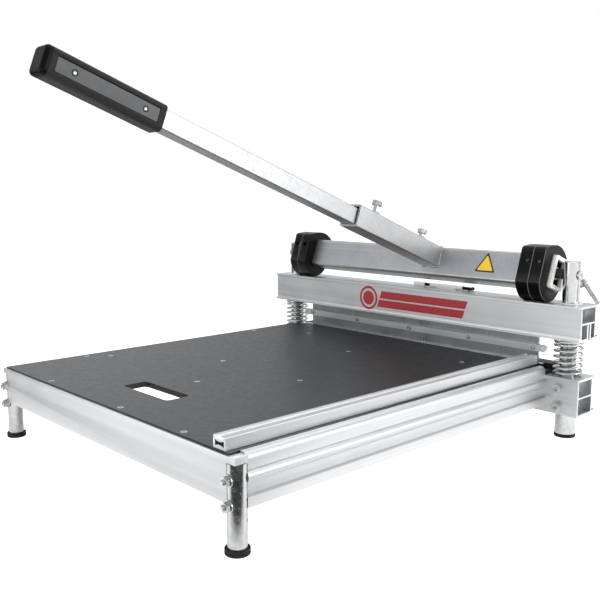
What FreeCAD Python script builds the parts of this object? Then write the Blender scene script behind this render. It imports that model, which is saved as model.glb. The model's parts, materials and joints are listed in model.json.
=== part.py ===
"""Guillotine cutter for vinyl and laminate floor planks, as separate pieces.

Units are millimetres. +X runs along the blade, +Y from the operator to the
blade, +Z up. The origin is on the floor, under the middle of the machine's box.
The model is drawn with the blade down and the handle at its lowest position.
"""

import math
import os

import FreeCAD
import Part

Vec = FreeCAD.Vector

# ---------------------------------------------------------------- driving sizes

# Front legs and their rubber feet.
FRONT_LEG_X = 324.0
FRONT_LEG_Y = -333.3
FRONT_TUBE_R = 13.0
FRONT_TUBE_WALL = 2.0
FRONT_TUBE_TOP = 121.0
FRONT_FOOT_R = 16.5
FRONT_FOOT_H = 8.5
FOOT_SOLE = 2.5
GROUND_Z = 4.0
DRAIN_Z = 48.0
DRAIN_R = 2.6
SPIGOT_R = 4.0
SPIGOT_TOP = 22.0
NOTCH_TOP = 122.0

# Rear guide posts, which carry both beams.
POST_X = 360.0
POST_Y = FRONT_LEG_Y + 735.0
POST_R = 15.0
POST_BOTTOM = 10.5
POST_TOP = 324.0
SLEEVE_R = 18.5
REAR_FOOT_R = 19.0
REAR_FOOT_H = 6.5

# Beams: hollow extrusions with flanges that run on behind the rear wall.
BEAM_HALF = 398.0
BEAM_FRONT_Y = FRONT_LEG_Y + 703.5
BEAM_DEPTH = 64.5
BEAM_WALL = 4.0
BEAM_REAR_WALL = 50.0
LOWER_BEAM_Z = (50.5, 117.5)
UPPER_BEAM_Z = (186.0, 248.0)
BEAM_LIP = 3.5

# Side rails, front apron and board.
RAIL_INNER_X = 300.0
RAIL_FACE_X = 330.5
RAIL_RIB_X = 337.5
RAIL_FOOT_X = 335.5
RAIL_Z = (63.0, 133.0)
RAIL_START_Y = FRONT_LEG_Y + 8.0
APRON_FRONT_Y = FRONT_LEG_Y - 13.0
APRON_HALF = 337.0
APRON_Z = (70.0, 130.5)
APRON_WALL = 3.5
BOARD_Z = (124.0, 133.0)
BOARD_LEFT_X = -332.0
BOARD_RIGHT_X = 320.0
BOARD_FRONT_Y = FRONT_LEG_Y - 9.0
BOARD_REAR_Y = FRONT_LEG_Y + 722.0
BOARD_CHAMFER = 34.0
SLOT_HALF_X = 64.0
SLOT_HALF_Y = 21.5
SLOT_Y = FRONT_LEG_Y + 93.5
SLOT_R = 7.0

# Fence along the right edge of the board.
FENCE_X = (288.0, 313.0)
FENCE_H = 17.0
FENCE_END_Y = FRONT_LEG_Y + 710.0

# Blade and what it cuts against.
BLADE_HALF = 302.0
BLADE_Y = (FRONT_LEG_Y + 731.5, FRONT_LEG_Y + 736.5)
BLADE_Z = (128.0, 208.0)
STIFFENER_HALF = 321.0
STIFFENER_Z = (154.0, 167.0)
STIFFENER_T = 7.0
ANVIL_W = 8.8
ANVIL_HALF = 316.0

# Cam shaft tube, its pivot and the lever.
PIVOT_Z = 300.0
LEVER_ANGLE = 20.0
TUBE_HALF_S = 22.0
TUBE_HALF_V = 31.0
TUBE_HALF_X = 328.0
TUBE_WALL = 4.0
TUBE_CORNER = 6.5
CAM_X = (278.0, 303.0, 328.0)
CAM_REACH = 51.6
CAM_RATE = 21.0
CAM_TRAVEL = math.radians(60.0)
PIVOT_BOLT_R = 6.0

# Handle.
SOCKET_X = 63.0
SOCKET_HALF = 21.0
SOCKET_WALL = 4.0
SOCKET_V = 9.0
SOCKET_END = 281.0
HANDLE_HALF = 15.0
HANDLE_WALL = 2.5
HANDLE_START = 130.0
HANDLE_END = 890.0
GRIP_START = 712.0
GRIP_END = 892.0
GRIP_HALF_X = 19.0
GRIP_HALF_V = 20.5
CAP_LEN = 10.0

# Return springs between the beams.
SPRING_R = 24.2
SPRING_WIRE_R = 2.4
SPRING_TURNS = 7.0

# Clearances.
SNUG = 0.1
RUNNING = 0.05
GAP = 0.4

SIDES = ((-1, "left"), (1, "right"))

# ---------------------------------------------------------------- small helpers


def box(x0, x1, y0, y1, z0, z1):
    """Block between two opposite corners, given in any order."""
    low = Vec(min(x0, x1), min(y0, y1), min(z0, z1))
    return Part.makeBox(abs(x1 - x0), abs(y1 - y0), abs(z1 - z0), low)


def rod(start, axis, radius, length):
    """Round bar from a start point along an axis."""
    return Part.makeCylinder(radius, length, Vec(*start), Vec(*axis))


def ring(start, axis, outer, inner, length):
    """Round tube from a start point along an axis."""
    return rod(start, axis, outer, length).cut(rod(start, axis, inner, length))


def soften(shape, radius, axis):
    """Round every straight edge that runs along one axis."""
    edges = []
    for edge in shape.Edges:
        run = edge.Vertexes[-1].Point.sub(edge.Vertexes[0].Point)
        if run.Length > 1e-6 and abs(run.normalize().dot(Vec(*axis))) > 0.999:
            edges.append(edge)
    return shape.makeFillet(radius, edges)


def plate(points, direction):
    """Extrude a closed outline of (x, y, z) points."""
    corners = [Vec(*point) for point in points]
    face = Part.Face(Part.makePolygon(corners + corners[:1]))
    return face.extrude(Vec(*direction))


def union(shapes):
    """Fuse touching shapes into one solid."""
    whole = shapes[0].multiFuse(shapes[1:])
    return whole.removeSplitter()


def group(shapes):
    """Keep like pieces together as separate solids of one node."""
    return Part.makeCompound(shapes)


def turned(shape, point, axis):
    """Move a piece drawn along +Z so that it points along an axis."""
    placed = shape.copy()
    placed.Placement = FreeCAD.Placement(Vec(*point), FreeCAD.Rotation(Vec(0, 0, 1), Vec(*axis)))
    return placed


def hexagon(across_flats, height, z=0.0):
    """Hexagonal bar along +Z."""
    corner = across_flats / math.sqrt(3.0)
    points = []
    for step in range(6):
        angle = math.radians(60.0 * step + 30.0)
        points.append((corner * math.cos(angle), corner * math.sin(angle), z))
    return plate(points, (0, 0, height))


def socket_screw(head_r, head_h, shank_r, shank, key):
    """Socket-head screw along +Z, with the head's seat at zero and its shank above."""
    head = rod((0, 0, -head_h), (0, 0, 1), head_r, head_h)
    head = head.makeFillet(0.5, [head.Edges[0], head.Edges[2]])
    head = head.cut(hexagon(key, head_h * 0.6, -head_h))
    return union([head, rod((0, 0, 0), (0, 0, 1), shank_r, shank)])


def flat_screw(head_r, shank_r, length, key):
    """Countersunk screw along -Z, with its head flush at zero."""
    head = Part.makeCone(head_r, shank_r, head_r - shank_r, Vec(0, 0, 0), Vec(0, 0, -1))
    shank = rod((0, 0, 0), (0, 0, -1), shank_r, length)
    return union([head, shank]).cut(hexagon(key, 2.0, -2.0))


def countersink(head_r, shank_r, length):
    """The hole that a countersunk screw sits in, with a little room."""
    head = Part.makeCone(head_r + 3 * SNUG, shank_r + 3 * SNUG, head_r - shank_r, Vec(0, 0, 0), Vec(0, 0, -1))
    return head.fuse(rod((0, 0, 0), (0, 0, -1), shank_r + SNUG, length + 3 * SNUG))


def lever_placement():
    """Lever frame: x out along the handle, y across it (+X), z square to both."""
    angle = math.radians(LEVER_ANGLE)
    cos, sin = math.cos(angle), math.sin(angle)
    matrix = FreeCAD.Matrix(
        0, 1, 0, 0,
        -cos, 0, sin, POST_Y,
        sin, 0, cos, PIVOT_Z,
        0, 0, 0, 1,
    )
    return FreeCAD.Placement(matrix)


LEVER = lever_placement()


def on_lever(shape):
    """Carry a piece from the lever frame to the machine's frame."""
    placed = shape.copy()
    placed.Placement = LEVER.multiply(placed.Placement)
    return placed


# ---------------------------------------------------------------- legs and posts


def front_leg(side):
    x = side * FRONT_LEG_X
    bottom = GROUND_Z + FOOT_SOLE
    tube = ring((x, FRONT_LEG_Y, bottom), (0, 0, 1), FRONT_TUBE_R,
                FRONT_TUBE_R - FRONT_TUBE_WALL, FRONT_TUBE_TOP - bottom)
    for z in STUD_Z:
        tube = tube.cut(rod((x, FRONT_LEG_Y - 20, z), (0, 1, 0), STUD_R + SNUG, 40))
    return tube.cut(rod((x, FRONT_LEG_Y, DRAIN_Z), (side * 0.75, 0.66, 0), DRAIN_R, 20))


def foot_pad(x, y, radius, height):
    """Round rubber pad with a shallow groove about its side."""
    pad = rod((x, y, GROUND_Z), (0, 0, 1), radius, height)
    pad = pad.makeFillet(1.2, [edge for edge in pad.Edges if edge.BoundBox.ZLength < 0.01])
    return pad.cut(ring((x, y, GROUND_Z + height * 0.45), (0, 0, 1), radius + 1, radius - 0.7, 1.2))


def front_feet():
    """Cups that the front legs stand in."""
    feet = []
    for side, _ in SIDES:
        pad = foot_pad(side * FRONT_LEG_X, FRONT_LEG_Y, FRONT_FOOT_R, FRONT_FOOT_H)
        bore = rod((side * FRONT_LEG_X, FRONT_LEG_Y, GROUND_Z + FOOT_SOLE), (0, 0, 1), FRONT_TUBE_R + SNUG, 20)
        feet.append(pad.cut(bore))
    return group(feet)


def rear_feet():
    """Pads under the rear legs, each held by a spigot in its guide post."""
    feet = []
    for side, _ in SIDES:
        x = side * POST_X
        pad = foot_pad(x, POST_Y, REAR_FOOT_R, REAR_FOOT_H)
        feet.append(union([pad, rod((x, POST_Y, GROUND_Z + 2), (0, 0, 1), SPIGOT_R, SPIGOT_TOP - GROUND_Z - 2)]))
    return group(feet)


STUD_R = 4.0
STUD_Z = (68.0, 100.0)
STUD_TIP_Y = FRONT_LEG_Y - 24.0
STUD_END_Y = FRONT_LEG_Y + 60.0
NUT_AF = 13.0
NUT_H = 6.5
WASHER_T = 1.5


def leg_studs():
    studs = []
    for side, _ in SIDES:
        for z in STUD_Z:
            start = (side * FRONT_LEG_X, STUD_TIP_Y, z)
            studs.append(rod(start, (0, 1, 0), STUD_R, STUD_END_Y - STUD_TIP_Y))
    return group(studs)


def leg_nuts():
    nuts = []
    for side, _ in SIDES:
        for z in STUD_Z:
            nut = hexagon(NUT_AF, NUT_H)
            nut = nut.common(Part.makeSphere(NUT_AF * 0.62, Vec(0, 0, NUT_H / 2)))
            nut = nut.cut(rod((0, 0, -1), (0, 0, 1), STUD_R + SNUG, NUT_H + 2))
            nuts.append(turned(nut, (side * FRONT_LEG_X, FRONT_LEG_Y - FRONT_TUBE_R - WASHER_T, z), (0, -1, 0)))
    return group(nuts)


def leg_washers():
    """Flat washers that lie on the front of the legs and on the apron."""
    washers = []
    for side, _ in SIDES:
        for z in STUD_Z:
            start = (side * FRONT_LEG_X, FRONT_LEG_Y - FRONT_TUBE_R - WASHER_T, z)
            washers.append(ring(start, (0, 1, 0), 8.5, STUD_R + SNUG, WASHER_T))
    return group(washers)


def guide_post(side):
    x = side * POST_X
    bar = rod((x, POST_Y, POST_BOTTOM), (0, 0, 1), POST_R, POST_TOP - POST_BOTTOM)
    bar = bar.makeChamfer(1.5, [edge for edge in bar.Edges if edge.BoundBox.ZLength < 0.01])
    bar = bar.cut(rod((x - 30, POST_Y, PIVOT_Z), (1, 0, 0), PIVOT_BOLT_R + SNUG, 60))
    bar = bar.cut(rod((x, POST_Y, 0), (0, 0, 1), SPIGOT_R + SNUG, SPIGOT_TOP + 1))
    for z in POST_SCREW_Z:
        bar = bar.cut(rod((x, POST_Y - 30, z), (0, 1, 0), POST_SCREW_R + SNUG, 32))
    if side > 0:
        bar = bar.cut(rod((x, POST_Y + 3, HOOK_Z), (0, 1, 0), HOOK_SCREW_R + SNUG, 20))
    return bar


def rear_leg_sleeve(side):
    start = (side * POST_X, POST_Y, POST_BOTTOM)
    return ring(start, (0, 0, 1), SLEEVE_R, POST_R + SNUG, LOWER_BEAM_Z[0] - POST_BOTTOM)


# ---------------------------------------------------------------- frame

POST_SCREW_R = 5.0
POST_SCREW_Z = (65.5, 98.5)


def leg_notch(side):
    """Room for a front leg in the frame's corner, open to the corner's outside."""
    x = side * FRONT_LEG_X
    round_part = rod((x, FRONT_LEG_Y, 0), (0, 0, 1), FRONT_TUBE_R + GAP, NOTCH_TOP)
    open_part = box(x, x + side * 30, FRONT_LEG_Y - 30, RAIL_START_Y + 0.5, 0, NOTCH_TOP)
    return union([round_part, open_part])


def front_apron():
    y0 = APRON_FRONT_Y
    y1 = RAIL_START_Y
    z0, z1 = APRON_Z
    inner = RAIL_INNER_X - 2
    pieces = [
        box(-APRON_HALF, APRON_HALF, y0, y0 + APRON_WALL, z0, z1),
        box(-inner, inner, y0, y1, BOARD_Z[0] - APRON_WALL, BOARD_Z[0]),
        box(-inner, inner, y0, y1, z0, z0 + APRON_WALL),
        box(BOARD_RIGHT_X + 1, APRON_HALF, y0, y1, BOARD_Z[0], z1),
        box(-APRON_HALF, BOARD_LEFT_X - 1, y0, y1, BOARD_Z[0], z1),
    ]
    for side, _ in SIDES:
        pieces.append(box(side * inner, side * APRON_HALF, y0, y1, z0, BOARD_Z[0]))
    apron = union(pieces)
    for side, _ in SIDES:
        apron = apron.cut(leg_notch(side))
        x = side * FRONT_LEG_X
        for z in STUD_Z:
            apron = apron.cut(rod((x, y0, z), (0, 1, 0), STUD_R + SNUG, 40))
    for x, y in APRON_SCREWS:
        apron = apron.cut(rod((x, y, 100), (0, 0, 1), SCREW_SHANK_R + SNUG, 30))
    return apron


def rail_outline(side):
    """Outer and lower outline of a side rail, as (x, z) pairs for one side."""
    top = RAIL_Z[1] if side > 0 else BOARD_Z[0]
    corner = 9.0 if side > 0 else 1.5
    lines = []

    def point(x, z):
        return Vec(side * x, RAIL_START_Y, z)

    def line(a, b):
        lines.append(Part.makeLine(point(*a), point(*b)))

    def arc(a, b, c):
        lines.append(Part.Arc(point(*a), point(*b), point(*c)).toShape())

    line((RAIL_INNER_X, RAIL_Z[0]), (RAIL_FOOT_X, RAIL_Z[0]))
    line((RAIL_FOOT_X, RAIL_Z[0]), (RAIL_FOOT_X, 76.5))
    line((RAIL_FOOT_X, 76.5), (RAIL_FACE_X, 78.5))
    line((RAIL_FACE_X, 78.5), (RAIL_FACE_X, 94.0))
    arc((RAIL_FACE_X, 94.0), (RAIL_RIB_X, 101.5), (RAIL_FACE_X + 1.5, 109.5))
    line((RAIL_FACE_X + 1.5, 109.5), (RAIL_FACE_X + 3.5, 112.0))
    line((RAIL_FACE_X + 3.5, 112.0), (RAIL_FACE_X + 3.5, top - corner))
    bend = corner * (1 - math.sqrt(0.5))
    arc((RAIL_FACE_X + 3.5, top - corner), (RAIL_FACE_X + 3.5 - bend, top - bend),
        (RAIL_FACE_X + 3.5 - corner, top))
    if side > 0:
        step = BOARD_RIGHT_X + 1
        line((RAIL_FACE_X + 3.5 - corner, top), (step, top))
        line((step, top), (step, BOARD_Z[0]))
        line((step, BOARD_Z[0]), (RAIL_INNER_X, BOARD_Z[0]))
    else:
        line((RAIL_FACE_X + 3.5 - corner, top), (RAIL_INNER_X, top))
    line((RAIL_INNER_X, BOARD_Z[0]), (RAIL_INNER_X, RAIL_Z[0]))
    return Part.Face(Part.Wire(lines))


def side_rail(side):
    length = BEAM_FRONT_Y - RAIL_START_Y
    rail = rail_outline(side).extrude(Vec(0, length, 0))
    y0, y1 = RAIL_START_Y - 1, BEAM_FRONT_Y + 1
    rail = rail.cut(rod((side * FRONT_LEG_X, FRONT_LEG_Y, 0), (0, 0, 1), FRONT_TUBE_R + GAP, NOTCH_TOP))
    inner = side * (RAIL_INNER_X + 3)
    for x1, z0, z1 in ((312.0, 66.5, 92.0), (312.0, 95.5, 118.0), (327.0, 78.0, 91.0), (327.0, 109.0, 119.0)):
        x0 = inner if x1 < 320 else side * 313.0
        rail = rail.cut(box(x0, side * x1, y0, y1, z0, z1))
    for z in STUD_Z:
        rail = rail.cut(rod((side * FRONT_LEG_X, FRONT_LEG_Y, z), (0, 1, 0), STUD_R + SNUG, 61.5))
        rail = rail.cut(rod((side * FRONT_LEG_X, BEAM_FRONT_Y - 30, z), (0, 1, 0), RAIL_SCREW_R + SNUG, 32))
    for x, y in RAIL_TOP_SCREWS:
        if x * side > 0:
            rail = rail.cut(rod((x, y, 90), (0, 0, 1), SCREW_SHANK_R + SNUG, 50))
    if side > 0:
        for y in FENCE_SCREW_Y:
            rail = rail.cut(rod((FENCE_MID_X, y, BOARD_Z[0] - 4), (0, 0, 1), 5.5, 4))
    return rail


RAIL_SCREW_R = 3.5


def rail_end_screws():
    """Screws from inside the lower beam into the rails' far ends."""
    screws = []
    for side, _ in SIDES:
        for z in STUD_Z:
            screw = socket_screw(6.5, 6.0, RAIL_SCREW_R, 30.0, 6.0)
            seat = (side * FRONT_LEG_X, BEAM_FRONT_Y + BEAM_WALL, z)
            screws.append(turned(screw, seat, (0, -1, 0)))
    return group(screws)


def beam_section(z0, z1, lip):
    """Beam extrusion: closed box with flanges running on behind it."""
    y0 = BEAM_FRONT_Y
    y1 = y0 + BEAM_DEPTH
    half = BEAM_HALF
    wall = BEAM_WALL
    mid = (z0 + z1) / 2
    rear = y0 + BEAM_REAR_WALL
    return [
        box(-half, half, y0, y0 + wall, z0, z1),
        box(-half, half, y0 - lip, y1, z1 - wall, z1),
        box(-half, half, y0 - lip, y1, z0, z0 + wall),
        box(-half, half, rear, rear + wall - 1, z0, z1),
        box(-half, half, y0, rear, mid - 1.5, mid + 1.5),
        box(-half, half, y1 - 3, y1, z1 - wall - 2.5, z1),
        box(-half, half, y1 - 3, y1, z0, z0 + wall + 2.5),
    ]


def lower_beam():
    z0, z1 = LOWER_BEAM_Z
    beam = union(beam_section(z0, z1, 0.0))
    for side, _ in SIDES:
        x = side * POST_X
        beam = beam.cut(rod((x, POST_Y, z0 - 5), (0, 0, 1), POST_R + SNUG, z1 - z0 + 10))
        for z in POST_SCREW_Z:
            beam = beam.cut(rod((x, BEAM_FRONT_Y - 5, z), (0, 1, 0), POST_SCREW_R + SNUG, 20))
        for z in STUD_Z:
            x = side * FRONT_LEG_X
            beam = beam.cut(rod((x, BEAM_FRONT_Y - 5, z), (0, 1, 0), RAIL_SCREW_R + SNUG, 20))
    for x, y in BED_SCREWS:
        beam = beam.cut(rod((x, y, z1 - 10), (0, 0, 1), SCREW_SHANK_R + SNUG, 20))
    return beam


def post_screws():
    """Large socket screws through the lower beam's face into the posts."""
    screws = []
    for side, _ in SIDES:
        for z in POST_SCREW_Z:
            screw = socket_screw(8.2, 9.0, POST_SCREW_R, 31.0, 8.0)
            screws.append(turned(screw, (side * POST_X, BEAM_FRONT_Y, z), (0, 1, 0)))
    return group(screws)


# ---------------------------------------------------------------- table

SCREW_HEAD_R = 5.2
SCREW_SHANK_R = 2.4
SCREW_LEN = 17.0

BEARER_Y = [FRONT_LEG_Y + offset for offset in (178.0, 309.0, 545.0)]
BEARER_HALF_Y = 14.0
BEARER_Z = (104.0, 124.0)
APRON_SCREWS = [(x, FRONT_LEG_Y + 2.0) for x in (-176.0, 48.0, 210.0)]
RAIL_TOP_SCREWS = [(-318.0, FRONT_LEG_Y + 142.0), (-318.0, FRONT_LEG_Y + 560.0)]
BEARER_SCREWS = [
    (-290.0, BEARER_Y[0]), (-6.0, BEARER_Y[0]), (270.0, BEARER_Y[0]),
    (-106.0, BEARER_Y[1]), (106.0, BEARER_Y[1]),
    (-6.0, BEARER_Y[2]), (270.0, BEARER_Y[2]),
]
REAR_SCREWS = [(-206.0, FRONT_LEG_Y + 626.0), (206.0, FRONT_LEG_Y + 626.0)]
REAR_BEARER_Y = FRONT_LEG_Y + 626.0
BED_Y = (BEAM_FRONT_Y + 0.5, BLADE_Y[0] - 0.6)
OFFCUT_Y = (BLADE_Y[1] + 1.0, BEAM_FRONT_Y + BEAM_DEPTH - 2.0)
BED_SCREWS = [(x, OFFCUT_Y[0] + 14.0) for x in (-250.0, 0.0, 250.0)]
BOARD_SCREWS = APRON_SCREWS + RAIL_TOP_SCREWS + BEARER_SCREWS + REAR_SCREWS


def work_board():
    z0, z1 = BOARD_Z
    cut = BOARD_CHAMFER
    outline = [
        (BOARD_LEFT_X, BOARD_FRONT_Y, z0),
        (BOARD_RIGHT_X, BOARD_FRONT_Y, z0),
        (BOARD_RIGHT_X, BOARD_REAR_Y - cut, z0),
        (BOARD_RIGHT_X - cut, BOARD_REAR_Y, z0),
        (BOARD_LEFT_X + cut, BOARD_REAR_Y, z0),
        (BOARD_LEFT_X, BOARD_REAR_Y - cut, z0),
    ]
    board = plate(outline, (0, 0, z1 - z0))
    slot = box(-SLOT_HALF_X, SLOT_HALF_X, SLOT_Y - SLOT_HALF_Y, SLOT_Y + SLOT_HALF_Y, z0 - 1, z1 + 1)
    board = board.cut(soften(slot, SLOT_R, (0, 0, 1)))
    for x, y in BOARD_SCREWS:
        hole = countersink(SCREW_HEAD_R, SCREW_SHANK_R, SCREW_LEN)
        hole.translate(Vec(x, y, z1))
        board = board.cut(hole)
    for y in FENCE_SCREW_Y:
        board = board.cut(rod((FENCE_MID_X, y, z0 - 1), (0, 0, 1), SCREW_SHANK_R + SNUG, 20))
    return board


def board_screws():
    screws = []
    for x, y in BOARD_SCREWS:
        screw = flat_screw(SCREW_HEAD_R, SCREW_SHANK_R, SCREW_LEN, 4.0)
        screw.translate(Vec(x, y, BOARD_Z[1] - 0.2))
        screws.append(screw)
    return group(screws)


def board_bearers():
    """Rectangular tubes across the frame, under the board."""
    bearers = []
    for y in BEARER_Y + [REAR_BEARER_Y]:
        bar = box(-RAIL_INNER_X, RAIL_INNER_X, y - BEARER_HALF_Y, y + BEARER_HALF_Y, *BEARER_Z)
        hollow = box(-RAIL_INNER_X - 1, RAIL_INNER_X + 1, y - BEARER_HALF_Y + 2,
                     y + BEARER_HALF_Y - 2, BEARER_Z[0] + 2, BEARER_Z[1] - 2)
        bar = bar.cut(hollow)
        for sx, sy in BEARER_SCREWS + REAR_SCREWS:
            if abs(sy - y) < 1:
                bar = bar.cut(rod((sx, sy, BEARER_Z[1] - 5), (0, 0, 1), SCREW_SHANK_R + SNUG, 10))
        bearers.append(bar)
    return group(bearers)


FENCE_MID_X = sum(FENCE_X) / 2
FENCE_SCREW_Y = [FRONT_LEG_Y + offset for offset in (40.0, 260.0, 480.0, 690.0)]


def fence():
    """Fence extrusion: grooved top, waisted hollow inside."""
    x0, x1 = FENCE_X
    z0 = BOARD_Z[1]
    z1 = z0 + FENCE_H
    y0 = BOARD_FRONT_Y + 1
    length = FENCE_END_Y - y0
    body = soften(box(x0, x1, y0, FENCE_END_Y, z0, z1), 0.8, (0, 1, 0))
    body = body.cut(box(x0 + 4.5, x1 - 11.0, y0 - 1, FENCE_END_Y + 1, z1 - 2.5, z1 + 1))
    mid = FENCE_MID_X
    waist = [
        (mid - 9.0, y0 - 1, z0 + 3.5), (mid - 2.5, y0 - 1, z0 + 5.5), (mid + 2.5, y0 - 1, z0 + 5.5),
        (mid + 9.0, y0 - 1, z0 + 3.5), (mid + 9.0, y0 - 1, z0 + 11.5), (mid + 2.5, y0 - 1, z0 + 9.5),
        (mid - 2.5, y0 - 1, z0 + 9.5), (mid - 9.0, y0 - 1, z0 + 11.5),
    ]
    body = body.cut(plate(waist, (0, length + 2, 0)))
    for y in FENCE_SCREW_Y:
        body = body.cut(rod((mid, y, z0 - 1), (0, 0, 1), SCREW_SHANK_R + SNUG, 8))
    return body


def fence_screws():
    """Screws up through the board into the fence's floor."""
    screws = []
    for y in FENCE_SCREW_Y:
        head = rod((FENCE_MID_X, y, BOARD_Z[0] - 3.0), (0, 0, 1), 4.5, 3.0)
        shank = rod((FENCE_MID_X, y, BOARD_Z[0]), (0, 0, 1), SCREW_SHANK_R, 14.0)
        screws.append(union([head, shank]))
    return group(screws)


def cutting_bed():
    """Black plastic bars on the lower beam, either side of the blade's slot."""
    z0 = LOWER_BEAM_Z[1]
    front = box(-331.0, 331.0, BED_Y[0], BED_Y[1], z0, BOARD_Z[0])
    rear = box(-331.0, 331.0, OFFCUT_Y[0], OFFCUT_Y[1], z0, BOARD_Z[1] - 0.5)
    for side, _ in SIDES:
        clear = rod((side * POST_X, POST_Y, z0 - 1), (0, 0, 1), SPRING_R + SPRING_WIRE_R + 3.0, 40)
        front = front.cut(clear)
        rear = rear.cut(clear)
    for x, y in BED_SCREWS:
        hole = countersink(SCREW_HEAD_R, SCREW_SHANK_R, SCREW_LEN + 6)
        hole.translate(Vec(x, y, BOARD_Z[1] - 0.5))
        rear = rear.cut(hole)
    for x in ANVIL_SCREW_X:
        front = front.cut(rod((x, ANVIL_MID_Y, z0 - 1), (0, 0, 1), SCREW_SHANK_R + SNUG, 30))
    return group([front, rear])


def bed_screws():
    screws = []
    for x, y in BED_SCREWS:
        screw = flat_screw(SCREW_HEAD_R, SCREW_SHANK_R, SCREW_LEN + 5, 4.0)
        screw.translate(Vec(x, y, BOARD_Z[1] - 0.7))
        screws.append(screw)
    return group(screws)


ANVIL_MID_Y = BLADE_Y[0] - 0.6 - ANVIL_W / 2
ANVIL_SCREW_X = (-290.0, -150.0, 0.0, 150.0, 290.0)


def anvil_strip():
    """Steel shear edge that the blade passes."""
    z0, z1 = BOARD_Z
    strip = box(-ANVIL_HALF, ANVIL_HALF, ANVIL_MID_Y - ANVIL_W / 2, ANVIL_MID_Y + ANVIL_W / 2, z0, z1)
    for x in ANVIL_SCREW_X:
        hole = countersink(3.8, 2.0, 14.0)
        hole.translate(Vec(x, ANVIL_MID_Y, z1))
        strip = strip.cut(hole)
    return strip


def anvil_screws():
    screws = []
    for x in ANVIL_SCREW_X:
        screw = flat_screw(3.8, 2.0, 14.0, 2.6)
        screw.translate(Vec(x, ANVIL_MID_Y, BOARD_Z[1] - 0.2))
        screws.append(screw)
    return group(screws)


# ---------------------------------------------------------------- blade beam

BUSH_R = 18.0
BUSH_FLANGE_R = 20.5
STIFFENER_Y = (BLADE_Y[0] - STIFFENER_T, BLADE_Y[0])
BLADE_BOLT_X = (-270.0, -135.0, 0.0, 135.0, 270.0)
BLADE_BOLT_Z = 196.0
STIFFENER_SCREW_X = (-295.0, -150.0, 0.0, 150.0, 295.0)


def upper_beam():
    z0, z1 = UPPER_BEAM_Z
    y0 = BEAM_FRONT_Y
    pieces = beam_section(z0, z1, BEAM_LIP)
    mid = (z0 + z1) / 2
    for y in (BLADE_Y[0] - SNUG - 4, BLADE_Y[1] + SNUG):
        pieces.append(box(-BEAM_HALF, BEAM_HALF, y, y + 4, z0, mid))
    beam = union(pieces)
    beam = beam.cut(box(-BEAM_HALF - 1, BEAM_HALF + 1, BLADE_Y[0] - SNUG, BLADE_Y[1] + SNUG,
                        z0 - 1, BLADE_Z[1] + SNUG))
    groove = box(-BEAM_HALF - 1, BEAM_HALF + 1, y0 - 1, y0 + 1.2, z1 - BEAM_WALL - 2.5, z1 - BEAM_WALL)
    step = box(-BEAM_HALF - 1, BEAM_HALF + 1, y0 - 1, y0 + 0.8, z0 + 8.0, z0 + 9.5)
    beam = beam.cut(groove).cut(step)
    for side, _ in SIDES:
        beam = beam.cut(rod((side * POST_X, POST_Y, z0 - 5), (0, 0, 1), BUSH_R + SNUG, z1 - z0 + 10))
    for x in BLADE_BOLT_X:
        beam = beam.cut(rod((x, BLADE_Y[0] - 6, BLADE_BOLT_Z), (0, 1, 0), 4.1, 34))
        beam = beam.cut(rod((x, BLADE_Y[1] + 4.2, BLADE_BOLT_Z), (0, 1, 0), 9.5, 34))
    return beam


def guide_bushes(side):
    """Flanged plastic bushes that slide on a post, one in each flange of the beam."""
    x = side * POST_X
    z0, z1 = UPPER_BEAM_Z
    bushes = []
    for seat, direction in ((z1, -1), (z0, 1)):
        sleeve = rod((x, POST_Y, seat), (0, 0, direction), BUSH_R, 22.0)
        flange = rod((x, POST_Y, seat), (0, 0, -direction), BUSH_FLANGE_R, 1.5)
        bush = union([sleeve, flange])
        bushes.append(bush.cut(rod((x, POST_Y, seat - 30), (0, 0, 1), POST_R + RUNNING, 60)))
    return group(bushes)


def blade():
    y0, y1 = BLADE_Y
    z0, z1 = BLADE_Z
    bevel = 3.6
    rise = 7.0
    profile = [
        (-BLADE_HALF, y0, z0), (-BLADE_HALF, y0, z1), (-BLADE_HALF, y1, z1),
        (-BLADE_HALF, y1, z0 + rise), (-BLADE_HALF, y1 - bevel, z0),
    ]
    plate_body = plate(profile, (2 * BLADE_HALF, 0, 0))
    for x in BLADE_BOLT_X:
        plate_body = plate_body.cut(rod((x, y0 - 1, BLADE_BOLT_Z), (0, 1, 0), 4.1, 10))
    for x in STIFFENER_SCREW_X:
        plate_body = plate_body.cut(rod((x, y0 - 1, sum(STIFFENER_Z) / 2), (0, 1, 0), 2.5 + SNUG, 10))
    return plate_body


def blade_bolts():
    """Bolts that hold the blade in the beam, with nuts behind."""
    bolts = []
    for x in BLADE_BOLT_X:
        shank = rod((0, 0, -11.0), (0, 0, 1), 4.0, 11.0)
        head = hexagon(13.0, 5.0)
        bolt = union([shank, head])
        bolts.append(turned(bolt, (x, BLADE_Y[1] + 4.2, BLADE_BOLT_Z), (0, 1, 0)))
    return group(bolts)


def blade_stiffener():
    """Round-ended bar screwed along the front of the blade."""
    y0, y1 = STIFFENER_Y
    z0, z1 = STIFFENER_Z
    bar = soften(box(-STIFFENER_HALF, STIFFENER_HALF, y0, y1, z0, z1), 5.5, (0, 1, 0))
    for x in STIFFENER_SCREW_X:
        bar = bar.cut(rod((x, y0 - 1, (z0 + z1) / 2), (0, 1, 0), 2.5 + SNUG, 20))
    for side, _ in SIDES:
        bar = bar.cut(rod((side * (STIFFENER_HALF - 8), y0 - 1, (z0 + z1) / 2), (0, 1, 0), 2.4, 20))
    return bar


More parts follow.
